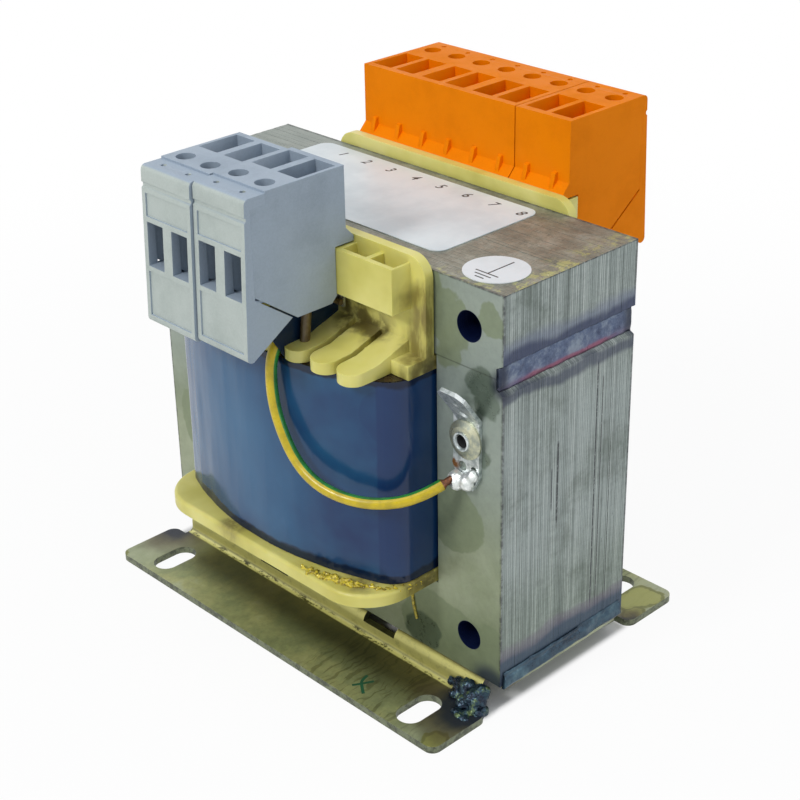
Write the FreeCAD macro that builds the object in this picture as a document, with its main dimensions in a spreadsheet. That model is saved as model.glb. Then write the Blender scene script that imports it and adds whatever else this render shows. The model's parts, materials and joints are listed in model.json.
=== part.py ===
import FreeCAD, Part
import math
import os
import re
import Sketcher
from FreeCAD import Placement, Rotation, Vector

# Laminated chassis transformer, welded EI 96 core on a folded base plate.
# X runs through the stack, from the input terminals (-X) to the output terminals (+X).
# Y runs along the 96 mm side of the laminations. The origin is the centre of the
# four foot slots, on the plane that the feet stand on.

alongX, alongY, alongZ = Vector(1, 0, 0), Vector(0, 1, 0), Vector(0, 0, 1)

doc = FreeCAD.newDocument("ChassisTransformer")
sheet = doc.addObject("Spreadsheet::Sheet", "Sizes")

# Every size is set once here, in millimetres. Heights that end in Above are
# measured from the underside of the core.
sizes = [
    # lamination stack
    ("coreLength", "96", "length of a lamination"),
    ("coreHeight", "80", "height of the E and the I together"),
    ("stackDepth", "35.5", "thickness of the stack"),
    ("limbWidth", "16", "outer limbs and yokes"),
    ("windowWidth", "16", "winding window"),
    ("coreHole", "5.8", "corner holes through the stack"),
    ("holeInset", "8", "corner hole centre from both edges"),
    ("grooveHeight", "5.8", "weld groove over the joint of E and I"),
    ("grooveFloor", "4", "weld groove at its bottom"),
    ("grooveDepth", "1.6", "weld groove below the side face"),
    ("weldRecess", "0.8", "rims of the weld below the side face"),
    ("weldCrown", "0.2", "middle of the weld proud of its rims"),
    # folded base plate
    ("coreRise", "6", "underside of the core above the floor"),
    ("plateSheet", "1.5", "sheet of the base plate"),
    ("webStep", "1.05", "web stands this far outside the stack"),
    ("footReach", "35.5", "outer edge of a foot from the middle"),
    ("footLength", "95.6", "length of the feet"),
    ("webLength", "88", "length of the webs"),
    ("reliefWidth", "2.1", "relief outside the ends of a web"),
    ("reliefInside", "2.8", "relief inwards from the outside of a web"),
    ("bendRadius", "1", "inside radius of the folds"),
    ("earRadius", "2", "rounded corners of the feet"),
    ("slotWidth", "5.5", "foot slots"),
    ("slotLength", "10", "foot slots along X"),
    ("slotSpacingX", "57.5", "slot centres across the core"),
    ("slotSpacingY", "75", "slot centres along the feet"),
    ("notchLength", "8.8", "notches in the upper fold"),
    ("notchDepth", "2.1", "notches in the upper fold"),
    ("notchReach", "2.9", "notches inwards from the outside of the web"),
    ("notchPlace", "16", "notch centre from the middle"),
    ("footWeldRise", "3.2", "foot weld up the side of the core"),
    ("footWeldDrop", "0.6", "foot weld below the core"),
    ("footWeldLength", "34.2", "foot weld along X"),
    ("footWeldBulge", "0.9", "foot weld outside the side of the core"),
    # coil former
    ("formerGap", "0.3", "clearance between former and core"),
    ("tubeWall", "1.4", "tube of the former"),
    ("flangeSheet", "2.7", "flanges of the former"),
    ("flangeReach", "36.3", "lower flange from the middle"),
    ("flangeCorner", "10", "rounded corners of the lower flange"),
    ("flangeRoot", "24.5", "upper flange before its fingers"),
    ("boardSheet", "2", "upright terminal boards"),
    ("boardProud", "2.5", "boards above the core"),
    ("boardCorner", "4", "rounded corners of the boards"),
    ("socketDepth", "4.5", "sockets in front of a board"),
    ("socketWall", "1.1", "walls of the sockets"),
    ("socketHeight", "8.7", "height of the sockets"),
    ("socketDrop", "1.5", "sockets below the top of a board"),
    ("polePitch", "7", "distance between poles"),
    ("poleCount", "8", "sockets on each board"),
    ("fingerWidth", "5.7", "guide fingers between the leads"),
    ("fingerReach", "33.8", "finger tips from the middle"),
    ("fingerDroop", "0.4", "finger tips below the top of the flange"),
    ("gussetRise", "3", "fingers thicken towards the board"),
    ("gussetReach", "27.5", "where the gussets of the fingers end"),
    # windings and wrap
    ("layerGap", "0.1", "between the layers of the coil"),
    ("coilHalfWidth", "31.4", "outside of the wrap in the window"),
    ("coilApex", "34.2", "crown of the wrap from the middle"),
    ("coilShoulder", "27", "where the crown starts"),
    ("coilCorner", "6", "rounded corners of the wrap"),
    ("firstCorner", "0.3", "rounded corners of the innermost turns"),
    ("firstCrown", "0.8", "crown of the innermost turns"),
    ("wrapSheet", "0.5", "blue film, several turns"),
    ("primaryShare", "0.47", "part of the winding room for the primary"),
    ("barrierSheet", "0.6", "insulation between the windings"),
    # terminal blocks, places measured outwards from the middle of the stack
    ("blockGap", "0.15", "clearance between blocks and former"),
    ("moduleGap", "0.2", "between neighbouring blocks"),
    ("blockBack", "22", "upper back face of a block"),
    ("blockDepth", "22.6", "back face to the top of the front face"),
    ("blockTopAbove", "96", "top of an input block"),
    ("outputRise", "0.4", "output blocks are taller by this"),
    ("ledgeRise", "2.9", "foot ledge that leans on the board"),
    ("ledgeNose", "1", "height of the ledge at the board"),
    ("bodyBottomAbove", "70.8", "lowest edge of a housing"),
    ("bodyChamfer", "1.2", "lower back edge of a housing"),
    ("slopeFoot", "34", "lower end of the sloping underside"),
    ("slopeTopAbove", "77.5", "upper end of the sloping underside"),
    ("coverSheet", "1.2", "front wall of a cover"),
    ("coverBottomAbove", "65.6", "lowest edge of a cover"),
    ("coverDraft", "1.2", "cover is this much deeper at its foot"),
    ("coverStep", "0.4", "cover of an input block lies below the top of the housing"),
    ("coverTopSheet", "2", "top lip of a cover"),
    ("inputLip", "4.6", "top lip of the covers over the housing"),
    ("outputLip", "4.1", "top lip of the covers over the housing"),
    ("coverGrooveDrop", "3.1", "groove of a cover below its top"),
    ("coverGrooveWidth", "1.1", "groove of a cover"),
    ("coverGrooveDepth", "0.35", "groove of a cover"),
    ("coverGrooveSide", "0.3", "sloping sides of the groove of a cover"),
    ("coverFootInset", "1.2", "foot of a cover outside the lower end of the slope"),
    ("coverFootFlat", "1.4", "flat underside of a cover"),
    ("slitWidth", "0.45", "slit between the housing and the cover"),
    ("coverRound", "1", "rounded edges of a cover"),
    ("panelRecess", "0.35", "sunk panels of a cover"),
    ("panelMargin", "1", "rim beside the sunk panels and round the entries"),
    ("panelTopDrop", "5", "upper sunk panel below the top of a cover"),
    ("panelFootRise", "1.6", "lower sunk panel above the foot of a cover"),
    ("entryWidth", "4.5", "wire entries"),
    ("entryHeight", "8.4", "wire entries"),
    ("entryBottomAbove", "76.8", "lower edge of the wire entries"),
    ("chamberWidth", "5.2", "top chambers"),
    ("chamberDepth", "9", "top chambers"),
    ("inputChamberStart", "1.3", "top chambers of the input blocks from the back"),
    ("inputChamberEnd", "10.1", "top chambers of the input blocks from the back"),
    ("outputPairShift", "0.25", "chambers of the output blocks stand in closer pairs"),
    ("inputPairShift", "0", "chambers of the input blocks are evenly spaced"),
    ("outputChamberStart", "1.6", "top chambers of the output blocks from the back"),
    ("outputChamberEnd", "11.2", "top chambers of the output blocks from the back"),
    ("inputScrewPlace", "15.1", "screws of the input blocks from the back"),
    ("outputScrewPlace", "16.6", "screws of the output blocks from the back"),
    ("screwHole", "3.6", "screwdriver holes"),
    ("testHole", "1.1", "test holes"),
    ("testHoleInset", "2.6", "test holes behind the front of a cover"),
    ("testHoleDepth", "1.5", "test holes"),
    ("looseOut", "0.6", "first input block is not pushed fully home"),
    ("looseDrop", "0.2", "first input block sits a little low"),
    # metal parts of a pole
    ("cageWall", "0.6", "clamp cage"),
    ("cageHeight", "9", "clamp cage"),
    ("cageLength", "5.4", "clamp cage along the wire"),
    ("cageGap", "0.1", "clearance of a cage in its pocket"),
    ("screwHead", "3.3", "clamp screw head"),
    ("screwShank", "2.4", "clamp screw shank"),
    ("headHeight", "2", "clamp screw head"),
    ("driverSlot", "0.6", "slot in the screw head"),
    ("driverSlotDepth", "0.8", "slot in the screw head"),
    ("headSunk", "4", "screw heads below the top of a block"),
    ("shankReach", "1.5", "screw shank below the top of a cage"),
    ("threadGap", "0.1", "clearance round the screw shank"),
    ("tagSheet", "0.5", "solder tag"),
    ("tagWidth", "2.6", "solder tag"),
    ("tagLowAbove", "68", "lower end of a solder tag"),
    ("leadSize", "1.1", "sleeved winding leads"),
    ("ribWidth", "1", "ribs over the ledge of the output blocks"),
    ("ribRise", "1.7", "ribs over the ledge of the output blocks"),
    ("ribInset", "0.4", "foot of a rib behind the front of the ledge"),
    ("ribNose", "0.6", "height of a rib at its foot"),
    ("ribCrown", "0.7", "top of a rib in front of the housing"),
    ("ribDroop", "0.3", "top of a rib falls by this"),
    # earth connection on the front of the stack
    ("lugSheet", "0.8", "earth lug"),
    ("lugWidth", "6.3", "earth lug"),
    ("lugPlace", "40", "middle of the lug from the middle of the core"),
    ("lugLowAbove", "41", "lower end of the lug"),
    ("lugBendAbove", "54.6", "where the blade leaves the core"),
    ("lugLean", "36", "lean of the blade in degrees"),
    ("bladeLength", "8.6", "free blade of the lug"),
    ("bladeChamfer", "1.4", "corners of the blade"),
    ("bladeEye", "2", "larger hole of the blade"),
    ("bladeEyeRise", "1.7", "larger hole above the bend"),
    ("bladePin", "1", "smaller hole of the blade"),
    ("bladePinRise", "5", "smaller hole above the bend"),
    ("lugNeck", "3.5", "the lug narrows this far below the rivet"),
    ("lugFlare", "0.3", "widest place of the lug's foot"),
    ("lugFlareRise", "3.4", "widest place above the lower end"),
    ("lugToe", "1.6", "pointed toe beside the middle of the lug"),
    ("lugToeDrop", "0.8", "pointed toe below the lower end"),
    ("lugHeelRise", "2.2", "heel of the lug above the lower end"),
    ("wireEye", "1.9", "hole for the end of the wire"),
    ("wireEyeSide", "0.9", "hole for the wire beside the middle"),
    ("solderEye", "1.5", "second hole in the foot of the lug"),
    ("solderEyeSide", "1.9", "second hole beside the middle"),
    ("footEyeRise", "3.5", "holes in the foot above its lower end"),
    ("rivetGap", "0.1", "clearance round the eyelet"),
    ("rivetAbove", "50.2", "eyelet rivet"),
    ("rivetHole", "1.7", "bore of the eyelet"),
    ("rivetTube", "2.9", "tube of the eyelet"),
    ("rivetDepth", "6", "eyelet in the core"),
    ("rivetHead", "3.8", "rolled head of the eyelet"),
    ("rivetRoll", "0.5", "thickness of the rolled head"),
    ("washerSize", "7.6", "domed washer"),
    ("washerRise", "1.1", "dome of the washer"),
    ("washerRim", "0.35", "rim of the washer"),
    ("wireSize", "2.2", "earth wire over its insulation"),
    # label and sticker on the top of the core
    ("labelSheet", "0.15", "printed film"),
    ("labelLength", "59.6", "rating label along Y"),
    ("labelWidth", "27.4", "rating label along X"),
    ("labelPlaceX", "1.7", "middle of the rating label"),
    ("labelPlaceY", "3", "middle of the rating label"),
    ("labelCorner", "2.5", "rounded corners of the rating label"),
    ("stickerSize", "12", "round earth sticker"),
    ("stickerPlaceX", "-10.3", "middle of the earth sticker"),
    ("stickerPlaceY", "-39.4", "middle of the earth sticker"),
]

# Sizes that follow from the ones above.
derived = [
    ("coreTop", "=coreRise + coreHeight"),
    ("jointPlane", "=coreTop - limbWidth"),
    ("windowFloor", "=coreRise + limbWidth"),
    ("halfStack", "=stackDepth / 2"),
    ("halfCore", "=coreLength / 2"),
    ("windowEdge", "=halfCore - limbWidth"),
    ("halfCentre", "=windowEdge - windowWidth"),
    ("holeLow", "=coreRise + holeInset"),
    ("holeHigh", "=coreTop - holeInset"),
    ("holeSide", "=halfCore - holeInset"),
    ("webOuter", "=halfStack + webStep"),
    ("panelUnder", "=coreRise - plateSheet"),
    ("grooveSlope", "=(grooveHeight - grooveFloor) / 2"),
    ("weldRim", "=grooveFloor / 2 + grooveSlope * (1 - weldRecess / grooveDepth)"),
    ("tubeInX", "=halfStack + formerGap"),
    ("tubeInY", "=halfCentre + formerGap"),
    ("tubeOutX", "=tubeInX + tubeWall"),
    ("tubeOutY", "=tubeInY + tubeWall"),
    ("formerHalf", "=windowEdge - formerGap"),
    ("flangeLow", "=windowFloor + formerGap"),
    ("flangeLowTop", "=flangeLow + flangeSheet"),
    ("flangeHighTop", "=jointPlane - formerGap"),
    ("flangeHigh", "=flangeHighTop - flangeSheet"),
    ("boardInner", "=halfStack + formerGap"),
    ("boardOuter", "=boardInner + boardSheet"),
    ("boardTop", "=coreTop + boardProud"),
    ("socketFront", "=boardOuter + socketDepth"),
    ("socketTop", "=boardTop - socketDrop"),
    ("socketLow", "=socketTop - socketHeight"),
    ("socketSpan", "=poleCount * polePitch"),
    ("coilLow", "=flangeLowTop + layerGap"),
    ("coilHeight", "=flangeHigh - layerGap - coilLow"),
    ("roomY", "=coilHalfWidth - tubeOutY"),
    ("roomX", "=coilApex - tubeOutX - firstCrown"),
    ("roomS", "=coilShoulder - tubeOutX"),
    ("blockTop", "=coreRise + blockTopAbove"),
    ("ledgeBack", "=boardOuter + blockGap"),
    ("blockStep", "=socketTop + blockGap + looseDrop"),
    ("bodyBack", "=socketFront + blockGap"),
    ("bodyBottom", "=coreRise + bodyBottomAbove"),
    ("slopeTop", "=coreRise + slopeTopAbove"),
    ("coverTop", "=blockTop - coverStep"),
    ("coverFront", "=blockBack + blockDepth"),
    ("coverFoot", "=coverFront + coverDraft"),
    ("coverBottom", "=coreRise + coverBottomAbove"),
    ("bodyFront", "=coverFront - coverSheet"),
    ("slopeFall", "=(slopeTop - bodyBottom) / (bodyFront - slopeFoot)"),
    ("draftRun", "=coverDraft / (coverTop - coverBottom)"),
    ("entryLow", "=coreRise + entryBottomAbove"),
    ("entryTop", "=entryLow + entryHeight"),
    ("cageLow", "=entryLow - cageWall"),
    ("cageTop", "=cageLow + cageHeight + cageWall"),
    ("screwHeadTop", "=blockTop - headSunk"),
    ("tagRun", "=blockStep + tagSheet"),
    ("tagLow", "=coreRise + tagLowAbove"),
    ("tagPlace", "=(ledgeBack + blockBack) / 2"),
    ("lugFace", "=halfStack + lugSheet"),
    ("lugLow", "=coreRise + lugLowAbove"),
    ("lugBend", "=coreRise + lugBendAbove"),
    ("rivetPlane", "=coreRise + rivetAbove"),
]

aliases = {}
for row, (alias, content, *note) in enumerate(sizes + derived, start=1):
    sheet.set(f"A{row}", alias)
    sheet.set(f"B{row}", content)
    sheet.setAlias(f"B{row}", alias)
    sheet.set(f"C{row}", note[0] if note else "follows from the sizes above")
    aliases[alias] = row
doc.recompute()


def renamed(formula, write):
    """Rewrite every size name in a formula."""
    return re.sub(r"[A-Za-z]\w*", lambda m: write(m[0]) if m[0] in aliases else m[0], str(formula))


def linked(formula):
    """Turn size names in a formula into references to the sheet."""
    return renamed(formula, lambda alias: f"Sizes.{alias}")


def size(alias):
    """Read one size as a number."""
    return float(sheet.get(alias))


def label(feature, name):
    feature.Label = name
    return feature


def box(name, alongX, alongY, alongZ):
    """A block between pairs of formulas, low end first."""
    feature = doc.addObject("Part::Box", name)
    spans = zip(("Length", "Width", "Height"), "xyz", (alongX, alongY, alongZ))
    for side, axis, (low, high) in spans:
        feature.setExpression(side, linked(f"({high}) - ({low})"))
        feature.setExpression(f"Placement.Base.{axis}", linked(low))
    return feature


def cylinder(name, diameter, length, start, turn=None):
    """A round bar from a start point, along Z unless it is turned."""
    feature = doc.addObject("Part::Cylinder", name)
    if turn:
        feature.Placement = Placement(Vector(), Rotation(*turn))
    feature.setExpression("Radius", linked(f"({diameter}) / 2"))
    feature.setExpression("Height", linked(length))
    for axis, formula in zip("xyz", start):
        feature.setExpression(f"Placement.Base.{axis}", linked(formula))
    return feature


def joined(name, shapes):
    feature = doc.addObject("Part::MultiFuse", name)
    feature.Shapes = shapes
    return feature


def removed(name, base, tools):
    """Base with all the tools cut away."""
    feature = doc.addObject("Part::Cut", name)
    feature.Base = base
    feature.Tool = tools[0] if len(tools) == 1 else joined(f"{name}Tools", tools)
    return feature


def grouped(name, pieces):
    """Identical separate pieces that share one node."""
    feature = doc.addObject("Part::Compound", name)
    feature.Links = pieces
    return feature


def newSketch(body, name, plane, offset="0"):
    """A sketch on one of the body's own origin planes, moved along its normal."""
    sketch = body.newObject("Sketcher::SketchObject", name)
    origin = next(item for item in body.Origin.OriginFeatures if item.Role == plane)
    sketch.AttachmentSupport = [(origin, "")]
    sketch.MapMode = "FlatFace"
    sketch.setExpression("AttachmentOffset.Base.z", linked(offset))
    return sketch


def fix(sketch, kind, geometry, point, formula):
    """Tie one coordinate of a point to a formula."""
    value = number(formula)
    index = sketch.addConstraint(Sketcher.Constraint(kind, -1, 1, geometry, point, value))
    sketch.setExpression(f"Constraints[{index}]", linked(formula))


def number(formula):
    """Value of a formula, for the first position of a sketch point."""
    return float(FreeCAD.Units.Quantity(renamed(formula, lambda alias: repr(size(alias)))).Value)


def polygon(sketch, corners):
    """A closed outline whose corners are pairs of formulas."""
    points = [Vector(number(u), number(v), 0) for u, v in corners]
    first = sketch.GeometryCount
    for index, point in enumerate(points):
        sketch.addGeometry(Part.LineSegment(point, points[(index + 1) % len(points)]))
    for index, (u, v) in enumerate(corners):
        following = first + (index + 1) % len(corners)
        sketch.addConstraint(Sketcher.Constraint("Coincident", first + index, 2, following, 1))
        fix(sketch, "DistanceX", first + index, 1, u)
        fix(sketch, "DistanceY", first + index, 1, v)


def rectangle(sketch, alongU, alongV):
    (left, right), (low, high) = alongU, alongV
    polygon(sketch, [(left, low), (right, low), (right, high), (left, high)])


def circle(sketch, u, v, diameter):
    centre = Vector(number(u), number(v), 0)
    index = sketch.addGeometry(Part.Circle(centre, alongZ, number(diameter) / 2))
    fix(sketch, "DistanceX", index, 3, u)
    fix(sketch, "DistanceY", index, 3, v)
    radius = sketch.addConstraint(Sketcher.Constraint("Radius", index, number(diameter) / 2))
    sketch.setExpression(f"Constraints[{radius}]", linked(f"({diameter}) / 2"))


def slot(sketch, u, v, length, width):
    """A round-ended slot along U."""
    radius = number(width) / 2
    reach = (number(length) - number(width)) / 2
    cu, cv = number(u), number(v)
    left, right = Vector(cu - reach, cv, 0), Vector(cu + reach, cv, 0)
    up = Vector(0, radius, 0)
    quarter = math.pi / 2
    rightEnd, leftEnd = Part.Circle(right, alongZ, radius), Part.Circle(left, alongZ, radius)
    first = sketch.GeometryCount
    sketch.addGeometry(Part.LineSegment(left + up, right + up))
    sketch.addGeometry(Part.ArcOfCircle(rightEnd, -quarter, quarter))
    sketch.addGeometry(Part.LineSegment(right - up, left - up))
    sketch.addGeometry(Part.ArcOfCircle(leftEnd, quarter, 3 * quarter))
    for pair in ((0, 2, 1, 2), (1, 1, 2, 1), (2, 2, 3, 2), (3, 1, 0, 1)):
        one, end, other, start = pair
        sketch.addConstraint(Sketcher.Constraint("Tangent", first + one, end, first + other, start))
    for arc, sign in ((1, "+"), (3, "-")):
        fix(sketch, "DistanceX", first + arc, 3, f"({u}) {sign} (({length}) - ({width})) / 2")
        fix(sketch, "DistanceY", first + arc, 3, v)
    index = sketch.addConstraint(Sketcher.Constraint("Radius", first + 1, radius))
    sketch.setExpression(f"Constraints[{index}]", linked(f"({width}) / 2"))
    sketch.addConstraint(Sketcher.Constraint("Equal", first + 1, first + 3))


def pad(body, sketch, length, both=False, reverse=False):
    feature = body.newObject("PartDesign::Pad", f"{sketch.Name}Pad")
    feature.Profile = sketch
    feature.SideType = "Symmetric" if both else "One side"
    feature.Reversed = reverse
    feature.setExpression("Length", linked(length))
    doc.recompute()
    return feature


def pocket(body, sketch, depth=None, both=False, reverse=False):
    """A pocket that has to take material away."""
    before = body.Shape.Volume
    feature = body.newObject("PartDesign::Pocket", f"{sketch.Name}Pocket")
    feature.Profile = sketch
    feature.SideType = "Symmetric" if both else "One side"
    feature.Reversed = reverse
    if depth is None:
        feature.Type = "ThroughAll"
    else:
        feature.setExpression("Length", linked(depth))
    doc.recompute()
    if not body.Shape.Volume < before:
        raise RuntimeError(f"{feature.Name} takes nothing away")
    return feature


def soften(body, kind, amount, wanted):
    """Fillet or chamfer the edges of the tip that the test wants."""
    base = body.Tip
    edges = [f"Edge{i}" for i, edge in enumerate(base.Shape.Edges, start=1) if wanted(edge)]
    feature = body.newObject(f"PartDesign::{kind}", f"{base.Name}{kind}")
    feature.Base = (base, edges)
    feature.setExpression("Radius" if kind == "Fillet" else "Size", linked(amount))
    doc.recompute()
    return feature


def runsAlong(edge, axis):
    """Straight edge along X, Y or Z."""
    if edge.Curve.TypeId != "Part::GeomLine":
        return False
    return abs(abs(edge.tangentAt(edge.FirstParameter).dot(axis)) - 1) < 1e-6


def near(value, *targets):
    return any(abs(value - target) < 0.01 for target in targets)


def foldedBasePlate():
    """One folded sheet: a raised panel under the core, two webs and two slotted feet."""
    body = label(doc.addObject("PartDesign::Body", "basePlate"), "base_plate")
    section = newSketch(body, "basePlateSection", "XZ_Plane")
    outline = [
        ("footReach", "0"), ("footReach", "plateSheet"), ("webOuter", "plateSheet"),
        ("webOuter", "coreRise"), ("-webOuter", "coreRise"), ("-webOuter", "plateSheet"),
        ("-footReach", "plateSheet"), ("-footReach", "0"), ("-webOuter + plateSheet", "0"),
        ("-webOuter + plateSheet", "panelUnder"), ("webOuter - plateSheet", "panelUnder"),
        ("webOuter - plateSheet", "0"),
    ]
    polygon(section, outline)
    pad(body, section, "footLength", both=True)
    web, sheetThick, rise = size("webOuter"), size("plateSheet"), size("coreRise")

    def innerFold(edge):
        centre = edge.BoundBox.Center
        atFoot = near(abs(centre.x), web) and near(centre.z, sheetThick)
        atPanel = near(abs(centre.x), web - sheetThick) and near(centre.z, rise - sheetThick)
        return runsAlong(edge, alongY) and (atFoot or atPanel)

    def outerFold(edge):
        centre = edge.BoundBox.Center
        atFoot = near(abs(centre.x), web - sheetThick) and near(centre.z, 0)
        atPanel = near(abs(centre.x), web) and near(centre.z, rise)
        return runsAlong(edge, alongY) and (atFoot or atPanel)

    soften(body, "Fillet", "bendRadius", innerFold)
    soften(body, "Fillet", "bendRadius + plateSheet", outerFold)
    reliefs = newSketch(body, "cornerReliefs", "XY_Plane", "coreRise")
    for sideX in (-1, 1):
        for sideY in (-1, 1):
            inner, outer = f"{sideX} * (webOuter - reliefInside)", f"{sideX} * (webOuter + reliefWidth)"
            start, end = f"{sideY} * webLength / 2", f"{sideY} * (footLength / 2 + 1)"
            rectangle(reliefs, (inner, outer), (start, end))
    pocket(body, reliefs, "coreRise + 1")
    reach, reliefEnd = size("footReach"), size("webOuter") + size("reliefWidth")
    halfLength = size("footLength") / 2

    def earCorner(edge):
        centre = edge.BoundBox.Center
        atEnd = near(abs(centre.y), halfLength) and near(abs(centre.x), reach, reliefEnd)
        return runsAlong(edge, alongZ) and centre.z < sheetThick and atEnd

    soften(body, "Fillet", "earRadius", earCorner)
    slots = newSketch(body, "footSlots", "XY_Plane", "plateSheet")
    for sideX in (-1, 1):
        for sideY in (-1, 1):
            middleX, middleY = f"{sideX} * slotSpacingX / 2", f"{sideY} * slotSpacingY / 2"
            slot(slots, middleX, middleY, "slotLength", "slotWidth")
    pocket(body, slots, "plateSheet + 1")
    notches = newSketch(body, "foldNotches", "XY_Plane", "coreRise")
    for sideX in (-1, 1):
        for sideY in (-1, 1):
            inner = f"{sideX} * (webOuter - notchReach)"
            middle = f"{sideY} * notchPlace"
            span = (f"{middle} - notchLength / 2", f"{middle} + notchLength / 2")
            rectangle(notches, (inner, f"{sideX} * (webOuter + 1)"), span)
    pocket(body, notches, "notchDepth")
    return body


def laminations(name, nodeName, outline, holeHeight, direction):
    """A stack of stamped sheets with two holes and half of each weld groove."""
    body = label(doc.addObject("PartDesign::Body", name), nodeName)
    shape = newSketch(body, f"{name}Outline", "YZ_Plane")
    polygon(shape, outline)
    pad(body, shape, "stackDepth", both=True)
    holes = newSketch(body, f"{name}Holes", "YZ_Plane")
    for side in (-1, 1):
        circle(holes, f"{side} * holeSide", holeHeight, "coreHole")
    pocket(body, holes, "stackDepth + 2", both=True)
    groove = newSketch(body, f"{name}Groove", "YZ_Plane")
    for side in (-1, 1):
        outside, deep = f"{side} * halfCore", f"{side} * (halfCore - grooveDepth)"
        polygon(groove, [
            (outside, "jointPlane"), (deep, "jointPlane"),
            (deep, f"jointPlane + {direction} * grooveFloor / 2"),
            (outside, f"jointPlane + {direction} * grooveHeight / 2"),
        ])
    pocket(body, groove, "stackDepth + 2", both=True)
    return body


def seamWeld(side, name, nodeName):
    """The flat bead that fills one groove between the E and the I."""
    body = label(doc.addObject("PartDesign::Body", name), nodeName)
    shape = newSketch(body, f"{name}Section", "YZ_Plane")
    deep, rim = f"{side} * (halfCore - grooveDepth)", f"{side} * (halfCore - weldRecess)"
    crown = f"{side} * (halfCore - weldRecess + weldCrown)"
    upper = [
        (deep, "jointPlane + grooveFloor / 2"), (rim, "jointPlane + weldRim"),
        (crown, "jointPlane + weldRim / 2"),
    ]
    lower = [
        (crown, "jointPlane - weldRim / 2"), (rim, "jointPlane - weldRim"),
        (deep, "jointPlane - grooveFloor / 2"),
    ]
    corners = upper + lower
    polygon(shape, corners)
    pad(body, shape, "stackDepth", both=True)
    return body


def footWeld(side, name, nodeName):
    """The bead along one end of the base plate, up the side of the core."""
    body = label(doc.addObject("PartDesign::Body", name), nodeName)
    shape = newSketch(body, f"{name}Section", "YZ_Plane")
    plateEnd, coreEnd = f"{side} * footLength / 2", f"{side} * halfCore"
    corners = [
        (plateEnd, "coreRise - footWeldDrop"), (plateEnd, "coreRise"),
        (coreEnd, "coreRise"), (coreEnd, "coreRise + footWeldRise"),
        (f"{side} * (halfCore + footWeldBulge * 0.8)", "coreRise + footWeldRise * 0.5"),
        (f"{side} * (halfCore + footWeldBulge)", "coreRise"),
        (f"{side} * (halfCore + footWeldBulge * 0.5)", "coreRise - footWeldDrop"),
    ]
    polygon(shape, corners)
    pad(body, shape, "footWeldLength", both=True)
    return body


def heap(name, lumps):
    """Round lumps of melted metal, each a radius and the formulas of its centre."""
    balls = []
    for index, (radius, *centre) in enumerate(lumps):
        ball = doc.addObject("Part::Sphere", f"{name}Lump{index}")
        ball.Radius = radius
        for axis, formula in zip("xyz", centre):
            ball.setExpression(f"Placement.Base.{axis}", linked(formula))
        balls.append(ball)
    return joined(f"{name}Heap", balls)


def cornerWeld(side, name, nodeName, plate):
    """The heap of weld metal that ties one web end of the base plate to its foot."""
    end = f"{side} * webLength / 2"
    inwards = f"{-side} *"
    lumps = [
        (2.3, "-webOuter - 0.6", f"{end} + {inwards} 2.4", "plateSheet + 1.9"),
        (2.45, "-webOuter - 1.9", f"{end} - {inwards} 0.3", "plateSheet + 1.3"),
        (1.9, "-webOuter - 0.4", f"{end} - {inwards} 0.7", "plateSheet + 2.6"),
        (1.9, "-webOuter - 3.3", f"{end} + {inwards} 1.3", "plateSheet + 0.4"),
        (1.7, "-webOuter - 0.3", f"{end} + {inwards} 5", "plateSheet + 1.7"),
        (1.5, "-webOuter - 2.2", f"{end} + {inwards} 4.6", "plateSheet + 0.2"),
        (1.3, "-webOuter - 0.2", f"{end} + {inwards} 7.1", "plateSheet + 1.1"),
        (1.2, "-webOuter - 3.9", f"{end} - {inwards} 1.6", "plateSheet + 0.1"),
    ]
    behindWeb = box(f"{name}Web", ("-webOuter + 0.3", "0"), ("-webLength / 2", "webLength / 2"),
                    ("0", "coreRise"))
    core = box(f"{name}Core", ("-halfStack - 0.1", "halfStack"), ("-halfCore", "halfCore"),
               ("coreRise", "coreTop"))
    outside = removed(f"{name}Outside", heap(name, lumps), [behindWeb])
    offCore = removed(f"{name}OffCore", outside, [core])
    return label(removed(name, offCore, [plate]), nodeName)


def coilOutline(sketch, half, apex, shoulder):
    """Straight sides along X and two crowned ends."""
    halfValue, apexValue, shoulderValue = number(half), number(apex), number(shoulder)
    first = sketch.GeometryCount
    corners = [(1, 1), (-1, 1), (-1, -1), (1, -1)]
    points = [Vector(u * shoulderValue, v * halfValue, 0) for u, v in corners]
    crowns = {1: Vector(-apexValue, 0, 0), 3: Vector(apexValue, 0, 0)}
    for index, point in enumerate(points):
        following = points[(index + 1) % 4]
        if index in crowns:
            sketch.addGeometry(Part.Arc(point, crowns[index], following))
        else:
            sketch.addGeometry(Part.LineSegment(point, following))
    # an arc is kept anticlockwise, so its own start may be the far end
    for index, (u, v) in enumerate(corners):
        if index in crowns:
            continue
        for point, (cu, cv) in ((1, corners[index]), (2, corners[(index + 1) % 4])):
            fix(sketch, "DistanceX", first + index, point, f"{cu} * ({shoulder})")
            fix(sketch, "DistanceY", first + index, point, f"{cv} * ({half})")
    for index in crowns:
        line, nextLine = first + index - 1, first + (index + 1) % 4
        arc = first + index
        sketch.addConstraint(Sketcher.Constraint("Coincident", line, 2, arc, 1))
        sketch.addConstraint(Sketcher.Constraint("Coincident", nextLine, 1, arc, 2))
        rise = f"(({apex}) - ({shoulder}))"
        bow = f"((({half}) ^ 2 + {rise} ^ 2) / (2 * {rise}))"
        rounded = sketch.addConstraint(Sketcher.Constraint("Radius", arc, sketch.Geometry[arc].Radius))
        sketch.setExpression(f"Constraints[{rounded}]", linked(bow))


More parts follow.
